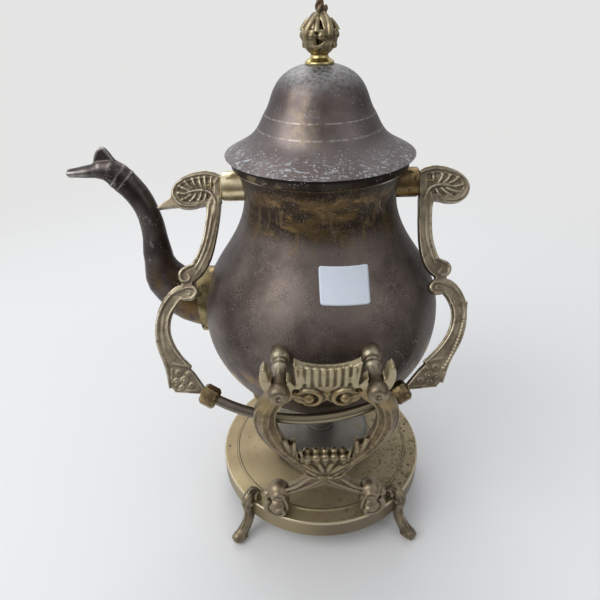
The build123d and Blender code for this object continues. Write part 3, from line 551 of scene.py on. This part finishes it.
frame_brass = cast_brass("frame_brass", (0.14, 0.10, 0.048), (0.24, 0.18, 0.092), CAST_ROSY, (0.36, 0.295, 0.185))
x, y, z = frame_brass.axes()
level = frame_brass.ease(frame_brass.node("Attribute", {"attribute_name": "proudness"}, "Fac"), 0.25, 0.5)
frame_brass.lay(level * frame_brass.ease(z, 0.090, 0.066) * 0.7, (0.31, 0.25, 0.175), 0.38)
frame_brass.lay(level * frame_brass.ease(z, 0.166, 0.172) * 0.8, (0.34, 0.25, 0.125), 0.4)
frame_brass.lay(frame_brass.ease(z, 0.184, 0.189) * (0.35 + 0.65 * level) * frame_brass.patches(0.009, 0.25, 0.5), (0.47, 0.40, 0.255), 0.36)
for end, turn in (("front", 0), ("rear", math.pi)):
    settle(cast("lyre_" + end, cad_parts["lyre_frame_front"].data, [lyre_relief], LYRE_GRAIN, 4, turn),
           frame_brass.on(), "stand", "cast_brass", "lyre_frame_" + end)

# ---- burner, wick and snuffer ----------------------------------------------------------
# A squat spun pot of grey brass, the tube that grips a plaited cotton
# wick, and the turned cap that drops over it.

burner_grey = Metal("smoked_brass", (0.16, 0.15, 0.13), (0.26, 0.245, 0.21), 0.5, 0.03)
burner_grey.metal = 0.8
burner_grey.lay(burner_grey.patches(0.012, 0.56, 0.70), (0.21, 0.18, 0.12), 0.46)
burner_grey.lay(burner_grey.dots(0.004, 0.12), (0.07, 0.065, 0.055), 0.7, 0.5, 0.02)
burner_grey.on("burner_pot", "snuffer_cap", "wick_tube")
cotton = Metal("wick_cotton", (0.42, 0.37, 0.28), (0.62, 0.57, 0.46), 0.9, 0.004)
cotton.metal = 0.0
weave = cotton.node("TexWave", {"bands_direction": "DIAGONAL"}, Vector=cotton.place, Scale=900, Distortion=2.0)
cotton.lay(weave, (0.25, 0.21, 0.15), None, None, 0.3)
cotton.lay(cotton.ease(cotton.axes()[2], 0.066, 0.0675), (0.03, 0.026, 0.022))
cotton.on("wick")

# ---- kettle body, bottom and neck ring ----------------------------------------------------
# Raised and spun from sheet brass, gone purple-brown, with painted shade low down and on the
# right and a painted reflection of wood in the gold low on the belly. The neck is rubbed
# golden in patches, with painted highlights among them and painted shade under the brim,
# below its dark turned ring, and the belly is flecked pale, pitted and finely scratched.

BODY_DEEP, BODY_PALE = (0.085, 0.064, 0.054), (0.20, 0.162, 0.142)
FLECK = (0.42, 0.36, 0.35)
GOLD = (0.42, 0.25, 0.075)
PIT = (0.018, 0.013, 0.010)

belly = Metal("purple_brown_brass", BODY_DEEP, BODY_PALE, 0.46, 0.045)
belly.metal = 0.85
x, y, z = belly.axes()
# Painted shade: the belly darkens towards the bottom, and darker still low on the right.
belly.lay(belly.ease(z, 0.19, 0.11) * 0.7, (0.06, 0.042, 0.03))
belly.lay(belly.ease(x, 0.02, 0.07) * belly.ease(z, 0.215, 0.165) * 0.92, (0.034, 0.023, 0.017))
# Gold low on the belly: partly rubbed wear, partly a painted reflection of warm wood below.
low_gold = belly.ease(z, 0.185, 0.150) * belly.patches(0.014, 0.46, 0.66, 6)
belly.lay(low_gold * belly.ease(x, 0.0, -0.03) * 0.8, GOLD, 0.36)
belly.lay(belly.ease(x, 0.045, 0.075) * belly.ease(z, 0.2, 0.15) * belly.patches(0.03, 0.4, 0.6), (0.26, 0.16, 0.055), 0.4)
# The neck darkens: partly brown tarnish, partly painted shade under the brim.
neck = belly.ease(z, 0.246, 0.262)
belly.lay(neck * 0.92, (0.045, 0.03, 0.018), 0.42)
streaks = belly.place * (1, 1, 2.4)
belly.lay(neck * belly.patches(0.022, 0.44, 0.62, 4, streaks), (0.145, 0.092, 0.04), 0.4)
# Painted highlights: small paler golden patches among the rubbed streaks.
belly.lay(neck * belly.patches(0.009, 0.56, 0.68, 5, streaks), (0.26, 0.165, 0.07), 0.36)
drips = belly.patches(0.007, 0.55, 0.62, 3, belly.place * (1, 1, 0.25))
belly.lay(drips * belly.ease(z, 0.240, 0.250) * 0.5, (0.22, 0.15, 0.075), 0.42)
# Painted shadow: a dark band on the neck just under the turned ring.
belly.lay(belly.ease(z, 0.277, 0.283), (0.05, 0.032, 0.02), 0.42)
fine = belly.dots(0.0010, 0.42) * belly.patches(0.010, 0.36, 0.6)
belly.lay(fine * 0.6, (0.33, 0.28, 0.25), 0.55, 0.5, 0.012)
belly.lay(belly.dots(0.0023, 0.2) * belly.patches(0.018, 0.48, 0.62) * 0.6, FLECK, 0.65, 0.25, 0.02)
belly.lay(belly.dots(0.0017, 0.3, belly.place + (0.3, 0.1, 0.2)) * belly.patches(0.016, 0.52, 0.64) * 0.7, PIT, 0.6, 0.7, -0.03)
belly.lay(belly.dots(0.014, 0.085, belly.place + (0.1, 0.5, 0.3)), PIT, 0.8, 0.3, -0.06)
scratch = belly.node("TexWave", {"wave_profile": "SIN"}, "Fac", Vector=belly.place * (1, 1, 0.6), Scale=55,
                     Distortion=26, Detail=3)
belly.lay(belly.ease(scratch, 0.988, 0.998) * belly.ease(x, 0.02, 0.05) * belly.patches(0.02, 0.5, 0.6),
          (0.40, 0.35, 0.33), 0.45)
belly.on("kettle_body", "kettle_bottom")

ring_brown = Metal("neck_ring_brown", (0.045, 0.033, 0.027), (0.10, 0.078, 0.064), 0.38, 0.02)
ring_brown.lay(ring_brown.ease(ring_brown.axes()[2], 0.2862, 0.2855), (0.55, 0.43, 0.27), 0.3)
ring_brown.lay(ring_brown.patches(0.011, 0.58, 0.66), (0.24, 0.18, 0.11), 0.4)
# Painted shadow: near black along the top of the ring, under the lid.
ring_brown.lay(ring_brown.ease(ring_brown.axes()[2], 0.2895, 0.2908), (0.012, 0.009, 0.007), 0.6, 0.5)
ring_brown.lay(ring_brown.dots(0.0022, 0.25) * ring_brown.patches(0.01, 0.5, 0.6), FLECK, 0.6, 0.4)
ring_brown.on("neck_collar")

# ---- spout and its collar -----------------------------------------------------------------
# A swan neck seamed from sheet, almost black, with a leaf standing on its crown and two
# turned rings behind the thin tip. A bright soldered ring covers the joint to the belly.

SPOUT_GRAIN = 0.62
spout_low, spout_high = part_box("spout")


def spout_spot(out, across, height):
    """The spout's own places: out towards its tip from the kettle's axis, across it, and up."""
    return (AXIS_X - MM * out, MM * across, MM * height)


spout_relief = Relief(spout_spot)
for out, height, lean, tall, wide in ((127.6, 276.1, 0.80, 8.5, 7.4), (131.4, 279.6, 0.70, 8.5, 7.4)):
    spout_relief.thread([(out - tall * math.sin(t) * math.sin(lean), wide * math.cos(t), height + tall * math.sin(t) * math.cos(lean))
                         for t in np.linspace(0, math.tau, 17)[:-1]], 0.75, closed=True)
spout_relief.thread([(132.0, 0, 284.0), (136.5, 0, 289.4), (140.5, 0, 288.0), (144.0, 0, 283.0)], 1.8, 3.6, 3.4, 2.0)
spout_relief.bead((138.5, 0, 284.0), 5.0)
spout_skin = cast("swan_neck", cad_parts["spout"].data, [spout_relief], SPOUT_GRAIN, 8)
dark = Metal("spout_black_brass", (0.05, 0.038, 0.036), (0.125, 0.103, 0.096), 0.38, 0.03)
x, y, z = dark.axes()
proudness = dark.node("Attribute", {"attribute_name": "proudness"}, "Fac")
dark.lay(dark.ease(z, 0.186, 0.166) * dark.patches(0.02, 0.36, 0.55), (0.22, 0.155, 0.065), 0.38)
dark.lay(dark.ease(z, 0.235, 0.19) * dark.ease(y, 0.002, -0.006) * dark.patches(0.012, 0.48, 0.6, 4, dark.place * (1, 1, 0.4)),
         (0.15, 0.095, 0.045), 0.4)
dark.lay(dark.ease(proudness, 0.58, 0.8), (0.34, 0.31, 0.29), 0.35)
dark.lay(dark.dots(0.002, 0.25) * dark.patches(0.012, 0.46, 0.6), FLECK, 0.6, 0.35, 0.015)
dark.lay(dark.patches(0.006, 0.6, 0.7), (0.21, 0.195, 0.185), 0.5)
settle(spout_skin, dark.on(), "kettle", "dark_brass", "spout")

# Left bail socket: rubbed pale brass, brightened further by a painted highlight.
bright = Metal("rubbed_bright_brass", (0.66, 0.53, 0.30), (0.86, 0.76, 0.50), 0.3, 0.008)
bright.lay(bright.patches(0.005, 0.60, 0.70), (0.34, 0.24, 0.11), 0.45)
bright.lay(bright.dots(0.002, 0.22) * bright.patches(0.007, 0.5, 0.6), (0.07, 0.05, 0.03), 0.6, 0.6, -0.03)
bright.on("bail_socket_left")

collar_brass = Metal("spout_collar_brass", (0.20, 0.155, 0.075), (0.42, 0.34, 0.18), 0.36, 0.01)
collar_brass.lay(collar_brass.patches(0.006, 0.5, 0.62), (0.10, 0.075, 0.05), 0.5)
collar_brass.on("spout_collar")

# ---- pins and bail sockets -----------------------------------------------------------------
# Four turned pins soldered to the belly, grey-brass from handling, and two short tubes on
# the neck that the bail turns in: the left one rubbed bright and carrying a painted highlight,
# the right one browned.

PIN_X, PIN_Z = 27.3, 192.0
PIN_PROFILE = ((71.8, 0.0), (71.8, 6.0), (83.6, 6.0), (84.6, 5.3), (85.4, 4.4), (87.0, 4.2), (88.2, 4.6), (89.0, 4.2),
               (90.0, 3.8), (91.0, 4.6), (92.4, 5.1), (93.8, 4.6), (94.8, 3.75), (109.9, 3.75), (110.5, 4.9), (111.6, 5.8),
               (113.2, 6.15), (115.4, 6.15), (117.0, 5.8), (118.2, 5.1), (118.9, 4.2), (119.1, 3.0), (119.0, 1.5),
               (118.6, 1.1), (117.9, 0.8), (117.7, 0.0))
PIN_SIDES = 48


def turned(name, profile, sides, spot):
    """A lathe-turned piece from its profile of places along the axis and radii."""
    lathe = bmesh.new()
    turns = [math.tau * k / sides for k in range(sides)]
    rings = [[lathe.verts.new(spot(along, r, t)) for t in (turns if r else turns[:1])] for along, r in profile]
    for one, other in zip(rings, rings[1:]):
        for k in range(sides):
            corners = (one[k % len(one)], one[(k + 1) % len(one)], other[(k + 1) % len(other)], other[k % len(other)])
            lathe.faces.new(list(dict.fromkeys(corners)))
    bmesh.ops.recalc_face_normals(lathe, faces=lathe.faces)
    skin = bpy.data.meshes.new(name)
    lathe.to_mesh(skin)
    skin.shade_smooth()
    return linked(name, skin)


pin_brass = Metal("pin_grey_brass", (0.32, 0.275, 0.19), (0.46, 0.40, 0.29), 0.4, 0.006)
pin_brass.lay(pin_brass.patches(0.004, 0.58, 0.68), (0.16, 0.13, 0.08), 0.5)
reach = pin_brass.node("Math", {"operation": "ABSOLUTE"}, Value=pin_brass.axes()[1])
pin_brass.lay(pin_brass.ease(reach, 0.088, 0.078) * 0.6, (0.20, 0.165, 0.11), 0.45)
pin_brass.lay(pin_brass.ease(reach, 0.109, 0.1125), (0.215, 0.17, 0.115), 0.42)
pin_brass.lay(pin_brass.ease(reach, 0.1182, 0.1188) * pin_brass.patches(0.003, 0.35, 0.6), (0.32, 0.26, 0.18), 0.4)
pin_brass.lay(pin_brass.dots(0.0022, 0.22) * pin_brass.patches(0.006, 0.45, 0.6), (0.06, 0.045, 0.03), 0.6, 0.6, -0.03)
pin_brass.on()
for end, way in (("front", -1), ("rear", 1)):
    for name, side in (("left", -1), ("right", 1)):
        def pin_spot(along, r, t):
            return (AXIS_X + MM * (side * PIN_X + r * math.cos(t)), way * MM * along, MM * (PIN_Z + r * math.sin(t)))

        settle(turned("turned_pin_" + end + "_" + name, PIN_PROFILE, PIN_SIDES, pin_spot),
               pin_brass, "kettle", "worn_brass", "pin_" + end + "_" + name)

browned = Metal("browned_brass", (0.15, 0.105, 0.05), (0.30, 0.21, 0.10), 0.4, 0.007)
browned.lay(browned.line(browned.axes()[2], 0.2665, 0.0011), (0.62, 0.36, 0.13), 0.3)
browned.lay(browned.patches(0.004, 0.56, 0.66), (0.06, 0.042, 0.025), 0.55)
browned.on("bail_socket_right")

# ---- price label ---------------------------------------------------------------------------
# A small white paper sticker with rounded corners, pressed on the belly; it carries no writing.

LABEL_W, LABEL_H = 31.0, 23.2
LABEL_TURN = math.radians(11.4)
LABEL_Z = 229.6
LABEL_TILT = math.radians(-4.8)
LABEL_ROUND = 1.6
LABEL_CELLS = 24
LABEL_LIFT = (0.02, 0.22)


def belly_point(across, up, lift):
    """A place on the belly, from arc millimetres across and up from the label's middle."""
    height = MM * (LABEL_Z + 0.86 * up)
    middle = Vector((AXIS_X, 0, height))
    turn = LABEL_TURN
    for _ in range(2):
        away = Vector((math.sin(turn), -math.cos(turn), 0))
        found, hit, normal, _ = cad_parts["kettle_body"].ray_cast(middle + 0.2 * away, -away)
        turn = LABEL_TURN + across * MM / (hit - middle).length
    return hit + lift * MM * normal


def rounded(u, v):
    """A square's place moved in to a rectangle with round corners."""
    half = Vector((LABEL_W / 2, LABEL_H / 2))
    place = Vector((u * half.x, v * half.y))
    inner = half - Vector((LABEL_ROUND, LABEL_ROUND))
    past = Vector((max(abs(place.x) - inner.x, 0), max(abs(place.y) - inner.y, 0)))
    if past.x > 0 and past.y > 0:
        past *= max(past.x, past.y) / past.length
    x = math.copysign(min(abs(place.x), inner.x) + past.x, place.x)
    y = math.copysign(min(abs(place.y), inner.y) + past.y, place.y)
    c, s = math.cos(LABEL_TILT), math.sin(LABEL_TILT)
    return c * x - s * y, s * x + c * y


sticker = bmesh.new()
layers = []
marks = np.linspace(-1, 1, LABEL_CELLS + 1)
for lift in LABEL_LIFT:
    layers.append([[sticker.verts.new(belly_point(*rounded(u, v), lift)) for u in marks] for v in marks])
under, top = layers
n = LABEL_CELLS
for i in range(n):
    for j in range(n):
        sticker.faces.new((top[i][j], top[i][j + 1], top[i + 1][j + 1], top[i + 1][j]))
        sticker.faces.new((under[i][j], under[i + 1][j], under[i + 1][j + 1], under[i][j + 1]))
    for a, b in (((0, i), (0, i + 1)), ((n, i + 1), (n, i)), ((i + 1, 0), (i, 0)), ((i, n), (i + 1, n))):
        sticker.faces.new((under[a[0]][a[1]], under[b[0]][b[1]], top[b[0]][b[1]], top[a[0]][a[1]]))
label_mesh = bpy.data.meshes.new("price_label")
sticker.to_mesh(label_mesh)
label_mesh.shade_smooth()
label = linked("price_label", label_mesh)
sticker_paper = Metal("label_paper", (0.76, 0.83, 0.93), (0.80, 0.86, 0.95), 0.6, 0.006)
sticker_paper.metal = 0.0
sticker_paper.lay(sticker_paper.patches(0.0008, 0.4, 0.6), None, None, None, 0.01)
settle(label, sticker_paper.on(), "kettle", "worn_brass")

# ---- bail: two cast arms, their blocks and the grip ----------------------------------------
# The arms are cast: a leafed head in a double border, a grooved stem, two facing volutes and a
# C-scroll that ends in a flowered plate. Faceted blocks join them to a round bar.

grip_low, grip_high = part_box("bail_grip")
PIVOT_Z = 271.0
GRIP_R = 3.4
BAIL_HANG = math.atan2(-(grip_low.y / MM + GRIP_R), PIVOT_Z - (grip_low.z / MM + GRIP_R))
ARM_SEAT_X = 64.4
BAIL_LEAN = 0.10
ARM_FACE = 3.3
ARM_GRAIN = 0.45


def bail_spot(side, face):
    """Places on one face of an arm: out from its seat, up from the pivot, and proud of the face."""
    def spot(out, up, proud=0.0):
        across = side * (ARM_SEAT_X + out) + BAIL_LEAN * min(0, up + 9.7)
        height = face * (ARM_FACE + proud)
        return (AXIS_X + MM * across, MM * (up * math.sin(BAIL_HANG) - height * math.cos(BAIL_HANG)),
                MM * (PIVOT_Z + up * math.cos(BAIL_HANG) + height * math.sin(BAIL_HANG)))
    return spot


ARM_THREADS = (
    (((0.9, 5.2), (8, 8.2), (17, 7.3), (26, 4.6), (31.2, 0.2), (31.8, -4.6)), (1.0, 1.1, 0.9)),
    (((31.8, -4.6), (29.4, -10.8), (24.5, -13.4), (19, -13.4), (14.5, -12.4)), (0.9, 1.1, 0.9)),
    (((2.8, 3.8), (8, 5.9), (17, 5.1), (25, 2.6), (28.8, -0.6), (29.4, -4.6)), (0.35, 0.5, 0.4)),
    (((29.4, -4.6), (27.2, -9.2), (23.5, -11.3), (18.5, -11.2), (13.6, -10.2)), (0.4, 0.5, 0.4)),
    (((3.2, -13), (4.6, -7), (8.4, -3.6), (14, -2.6), (20, -3.4), (24.4, -5.2)), (0.9, 1.2, 0.8, 0.5)),
    (((7.8, -10), (8.2, -18), (8.3, -28), (9.6, -38), (12.4, -46), (15.6, -51.5)), (0.8, 1.15, 1.15, 0.9)),
    (((3.6, -10), (5.3, -18), (6.2, -28), (7.2, -38), (10, -47), (13.6, -54)), (0.8, 1.05, 1.05, 0.8)),
    (((1.5, -7), (2.0, -18), (3.2, -30), (5.2, -42), (9.0, -52), (13, -59)), (0.6, 0.7, 0.7, 0.6)),
    (((2.6, -11), (4.0, -15.5), (3.7, -20), (4.5, -25)), (0.5, 1.3, 1.1, 0.4)),
    (((14, -51), (18.5, -52.6), (22.6, -54.6), (23.6, -58.6), (21.8, -62), (17.6, -62.6), (15.8, -59.6),
      (18.2, -57.4)), (0.9, 1.4, 1.3, 0.7)),
    (((13.6, -54.6), (16.6, -55.2), (20, -56.6)), (0.5, 0.7, 0.4)),
    (((26, -70.4), (20, -66.6), (14.4, -65.4), (11.4, -68.2), (12.2, -72.6), (16.6, -74.2), (21.6, -73)),
     (0.9, 1.2, 1.3, 1.0)),
    (((20.5, -68.6), (16.4, -68.2), (14.4, -70), (16, -71.8), (18.8, -71)), (0.5, 0.9, 0.5)),
    (((20, -65.5), (26, -68.2), (31.6, -75), (34.9, -83), (35.6, -91), (34.5, -101), (31, -109.5),
      (26.4, -118), (24.6, -126), (23.6, -131.5)), (0.9, 1.3, 1.35, 1.2, 0.9)),
    (((21.6, -73.6), (27, -80), (29.2, -87.5), (28.6, -96), (24.6, -105), (18.5, -112.5), (12.4, -117.6)),
     (0.7, 0.9, 0.9, 0.7)),
    (((30.6, -80), (32.2, -90), (31, -100), (27.4, -108.5), (22.4, -114.6)), (0.5, 0.8, 0.7, 0.5)),
    (((22.4, -115.4), (18.8, -117.2), (15.6, -116.4), (11.6, -118.4)), (0.8, 1.1, 0.7)),
    (((23, -119), (22.8, -126.5), (22.4, -131.8), (17, -133.4), (10, -133.2), (5, -133.6)), (0.7, 0.9, 0.9, 0.7)),
    (((14, -119), (10.5, -124), (6, -129)), (0.5, 0.8, 0.5)),
)
LEFT_LEAVES = (((4.2, 0.6), (2.4, 4.2)), ((6.8, -1.4), (6.2, 4.9)), ((9.6, -1.6), (10.6, 5.2)), ((12.6, -1.4), (14.2, 5.0)),
               ((15.8, -1.4), (18.6, 4.4)), ((18.6, -1.8), (23.4, 2.8)), ((20.6, -2.8), (27.4, 0.2)),
               ((21.2, -4.6), (28.0, -4.4)), ((19.6, -5.2), (25.2, -8.6)), ((16.6, -4.8), (20.2, -9.8)),
               ((13.2, -4.4), (14.8, -9.2)), ((10.2, -5.0), (10.8, -8.8)), ((7.0, -6.6), (6.8, -11.5)))
RIGHT_LEAVES = (((9.0, -0.6), (9.0, 4.6)), ((12.4, -1.6), (15.4, 3.4)), ((15.6, -2.0), (20.4, 3.2)),
                ((18.2, -2.4), (25.8, 1.6)), ((20.2, -4.0), (28.0, -3.2)), ((18.0, -5.0), (26.4, -8.0)),
                ((14.4, -4.8), (20.6, -9.8)), ((11.0, -5.2), (13.4, -9.8)), ((7.6, -7.0), (8.6, -12)))
PLATE_CURLS = ((18.6, -121.5, 1.7), (19.6, -127.4, 2.1), (14.6, -126.4, 2.2), (15.6, -131, 1.4), (9.4, -129.8, 1.6),
               (20.4, -131, 1.0), (12.2, -122.2, 1.3))


def arm_relief(side, face):
    relief = Relief(bail_spot(side, face))
    for points, widths in ARM_THREADS:
        relief.thread([(*point, -0.4) for point in points], *widths)
    for root, tip in LEFT_LEAVES if side < 0 else RIGHT_LEAVES:
        bend = (0.5 * (root[0] + tip[0]) + 0.14 * (tip[1] - root[1]), 0.5 * (root[1] + tip[1]) + 0.14 * (root[0] - tip[0]))
        relief.thread([(*root, -0.7), (*bend, -0.55), (*tip, -0.8)], 0.6, 1.3, 1.0)
        relief.bead((tip[0], tip[1], -0.8), 1.3)
    for out, up, r in PLATE_CURLS:
        relief.ring((out, up), r, 0.55, height=0.0)
        relief.bead((out, up, -0.1), 0.45 * r)
    if side > 0:
        for t in np.linspace(0, 1, 22):
            relief.bead((35.4 - 11.5 * t ** 2.2, -80 - 42 * t, -0.2), 1.15)
    return relief


arm_brass = cast_brass("arm_brass", (0.19, 0.15, 0.10), (0.325, 0.27, 0.185), (0.25, 0.18, 0.135), (0.62, 0.54, 0.39), (0.115, 0.09, 0.062))
for name, side in (("left", -1), ("right", 1)):
    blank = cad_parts["bail_arm_" + name].data
    settle(cast("scroll_arm_" + name, blank, [arm_relief(side, face) for face in (1, -1)], ARM_GRAIN, 3),
           arm_brass.on(), "bail", "cast_brass", "bail_arm_" + name)

bar_brass = Metal("grip_brass", (0.15, 0.13, 0.105), (0.24, 0.205, 0.16), 0.38, 0.02)
front = bar_brass.ease(bar_brass.node("Math", {"operation": "ABSOLUTE"}, Value=bar_brass.axes()[0]), 0.045, 0.025)
bar_brass.lay(front * 0.7, (0.38, 0.32, 0.20), 0.32)
bar_brass.lay(bar_brass.dots(0.0018, 0.2) * bar_brass.patches(0.009, 0.48, 0.62) * 0.7, (0.09, 0.07, 0.05), 0.6, 0.7, -0.03)
bar_brass.on("bail_grip")
block_brass = Metal("block_brass", (0.12, 0.085, 0.045), (0.30, 0.22, 0.12), 0.36, 0.006)
block_brass.lay(block_brass.patches(0.005, 0.56, 0.66), (0.44, 0.33, 0.16), 0.3)
block_brass.on("bail_block_left", "bail_block_right", "bail_pivot_left", "bail_pivot_right")

# ---- lid -----------------------------------------------------------------------------------
# Spun brass like the body: a wide brim, a raised band and a bell dome, with a painted
# highlight on the front of the band and dome. Pale blue-white flecks crowd the outer brim and
# the crown, and the band's two edges are rubbed to pale lines.

LID_DEEP, LID_PALE = (0.125, 0.098, 0.092), (0.225, 0.19, 0.18)
BLOOM = (0.50, 0.54, 0.57)
lid_low, lid_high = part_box("lid_shell")
lid = Metal("lid_purple_brown_brass", LID_DEEP, LID_PALE, 0.42, 0.05)
x, y, z = lid.axes()
edge = lid.radius()
# Painted highlight: a soft warm sheen down the front of the band and dome, left of the middle.
painted_sheen = lid.ease(lid.node("Math", {"operation": "ABSOLUTE"}, Value=x + 0.010), 0.024, 0.0) * lid.ease(y, -0.012, -0.03)
lid.lay(painted_sheen * lid.patches(0.006, 0.35, 0.65) * lid.ease(z, 0.300, 0.309) * 0.5, (0.29, 0.23, 0.155), 0.4)
lid.lay(lid.ease(z, lid_high.z - 0.016, lid_high.z - 0.001) * lid.patches(0.0022, 0.25, 0.65) * 0.8, (0.40, 0.41, 0.41), 0.6, 0.5)
for seam in (0.3169, 0.3087):
    lid.lay(lid.line(z, seam, 0.00045) * lid.patches(0.004, 0.40, 0.56) * 0.8, (0.42, 0.39, 0.35), 0.45)
brim = lid.ease(edge, 0.040, 0.057)
strokes = lid.node("Mapping", Vector=lid.place, Rotation=(0, 0, 0.7), Scale=(0.45, 1, 1))
lid.lay(lid.dots(0.0013, 0.42, strokes) * lid.patches(0.004, 0.38, 0.56) * brim * 0.7, BLOOM, 0.65, 0.2, 0.02)
lid.lay(lid.patches(0.0021, 0.56, 0.66, 3, strokes) * lid.patches(0.012, 0.35, 0.55) * brim * 0.8, BLOOM, 0.65, 0.2, 0.02)
lid.lay(lid.dots(0.0019, 0.3) * lid.patches(0.008, 0.46, 0.58) * lid.ease(edge, 0.034, 0.05), BLOOM, 0.65, 0.2, 0.02)
lid.lay(lid.dots(0.0016, 0.24) * lid.patches(0.012, 0.5, 0.62), (0.42, 0.40, 0.40), 0.6, 0.3, 0.015)
lid.lay(lid.dots(0.009, 0.07, lid.place + (0.2, 0.1, 0.4)), PIT, 0.7, 0.6, -0.04)
lid.on("lid_shell", "lid_lip")
steel.on("finial_nut")

# ---- finial ----------------------------------------------------------------------------------
# The cast knob: a bright turned foot, a bulb of overlapping leaves curled open round dark
# hollows, and a twisted tip with a side curl.

FINIAL_GRAIN = 0.33
finial_low, finial_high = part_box("finial")
LID_TOP = lid_high.z / MM
BULB_Z = LID_TOP + 15.0
BULB_R = 10.2


def pear(up):
    """How far the bulb is drawn in towards its stem, at a height over its middle."""
    return 1 - 0.34 * min(max(up, 0) / 10.8, 1)


def bulb_spot(turn, up, proud=0.0):
    """Places on the bulb: an angle round it, a height from its middle, and proud of its skin."""
    share = min(abs(up) / (10.8 if up > 0 else 10.2), 1)
    r = BULB_R * math.sqrt(1 - share ** 1.9) * (1 - 0.10 * share) * pear(up) + 1.6 + proud if share < 1 else 1.8 + proud
    r = min(r, 10.4 + proud)
    return (AXIS_X + MM * r * math.sin(turn), -MM * r * math.cos(turn), MM * (BULB_Z + up))


knob_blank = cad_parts["finial"].data.copy()
for corner in knob_blank.vertices:
    up = corner.co.z / MM - BULB_Z
    if up < 12:
        corner.co.x = AXIS_X + (corner.co.x - AXIS_X) * pear(up)
        corner.co.y *= pear(up)
finial_relief = Relief(bulb_spot)
for k in range(4):
    front = math.radians(-12) + k * math.tau / 4
    finial_relief.thread([(front - 0.80, -9.0, -1.2), (front - 0.76, -4, -0.7), (front - 0.72, 2.5, -0.8),
                          (front - 0.40, 7.4, -0.8), (front - 0.10, 10.4, -0.5)], 1.6, 2.6, 2.6, 1.8, 1.1)
    for side in (-1, 1):
        finial_relief.bead((front + side * 0.30, -0.4, -1.4), 2.5)
        finial_relief.thread([(front + side * 0.10, 1.6, -0.9), (front + side * 0.32, 2.9, -0.6),
                              (front + side * 0.56, 1.2, -0.8), (front + side * 0.60, -1.8, -1.0)], 0.7, 1.2, 1.0, 0.6)
    finial_relief.thread([(front, 8.0, -0.4), (front + 0.02, 5.0, 0.0), (front, 1.6, -0.2)], 1.0, 1.5, 1.7)
    finial_relief.thread([(front - 0.48, -3.2, -0.9), (front - 0.26, -5.7, -0.4), (front + 0.02, -6.4, -0.2),
                          (front + 0.30, -5.5, -0.4), (front + 0.50, -3.0, -0.9)], 0.6, 1.3, 1.5, 1.3, 0.6)
finial_tip = Relief(lambda x, y, up: (AXIS_X + MM * x, MM * y, MM * (LID_TOP + up)))
for start in (0, math.tau / 3, 2 * math.tau / 3):
    finial_tip.thread([(1.5 * math.cos(start + 0.42 * k), 1.5 * math.sin(start + 0.42 * k), 22.5 + 0.82 * k)
                       for k in range(12)], 1.3, 1.0, 1.3, 0.9)
finial_tip.thread([(1.6, -0.5, 25.0), (3.4, -0.7, 26.4), (4.4, -0.5, 28.4), (3.0, -0.6, 29.2)], 1.1, 1.3, 0.8)
knob = cast("leaf_knob", knob_blank, [finial_relief, finial_tip], FINIAL_GRAIN, 3)
knob_brass = Metal("knob_brass", (0.21, 0.165, 0.095), (0.40, 0.33, 0.20), 0.36, 0.006)
proudness = knob_brass.node("Attribute", {"attribute_name": "proudness"}, "Fac")
knob_brass.lay(knob_brass.ease(knob_brass.axes()[2], lid_high.z + 0.0066, lid_high.z + 0.0035), (0.66, 0.53, 0.22), 0.27)
# Near black in the hollows between the leaves: partly patina, partly painted shade.
knob_brass.lay(knob_brass.ease(proudness, 0.47, 0.18), (0.028, 0.02, 0.014), 0.6, 0.75)
knob_brass.lay(knob_brass.ease(proudness, 0.58, 0.9), (0.66, 0.56, 0.36), 0.28)
knob_brass.lay(knob_brass.ease(knob_brass.axes()[2], lid_high.z + 0.024, lid_high.z + 0.030), (0.15, 0.10, 0.065), 0.5)
settle(knob, knob_brass.on(), "lid", "bright_brass", "finial")
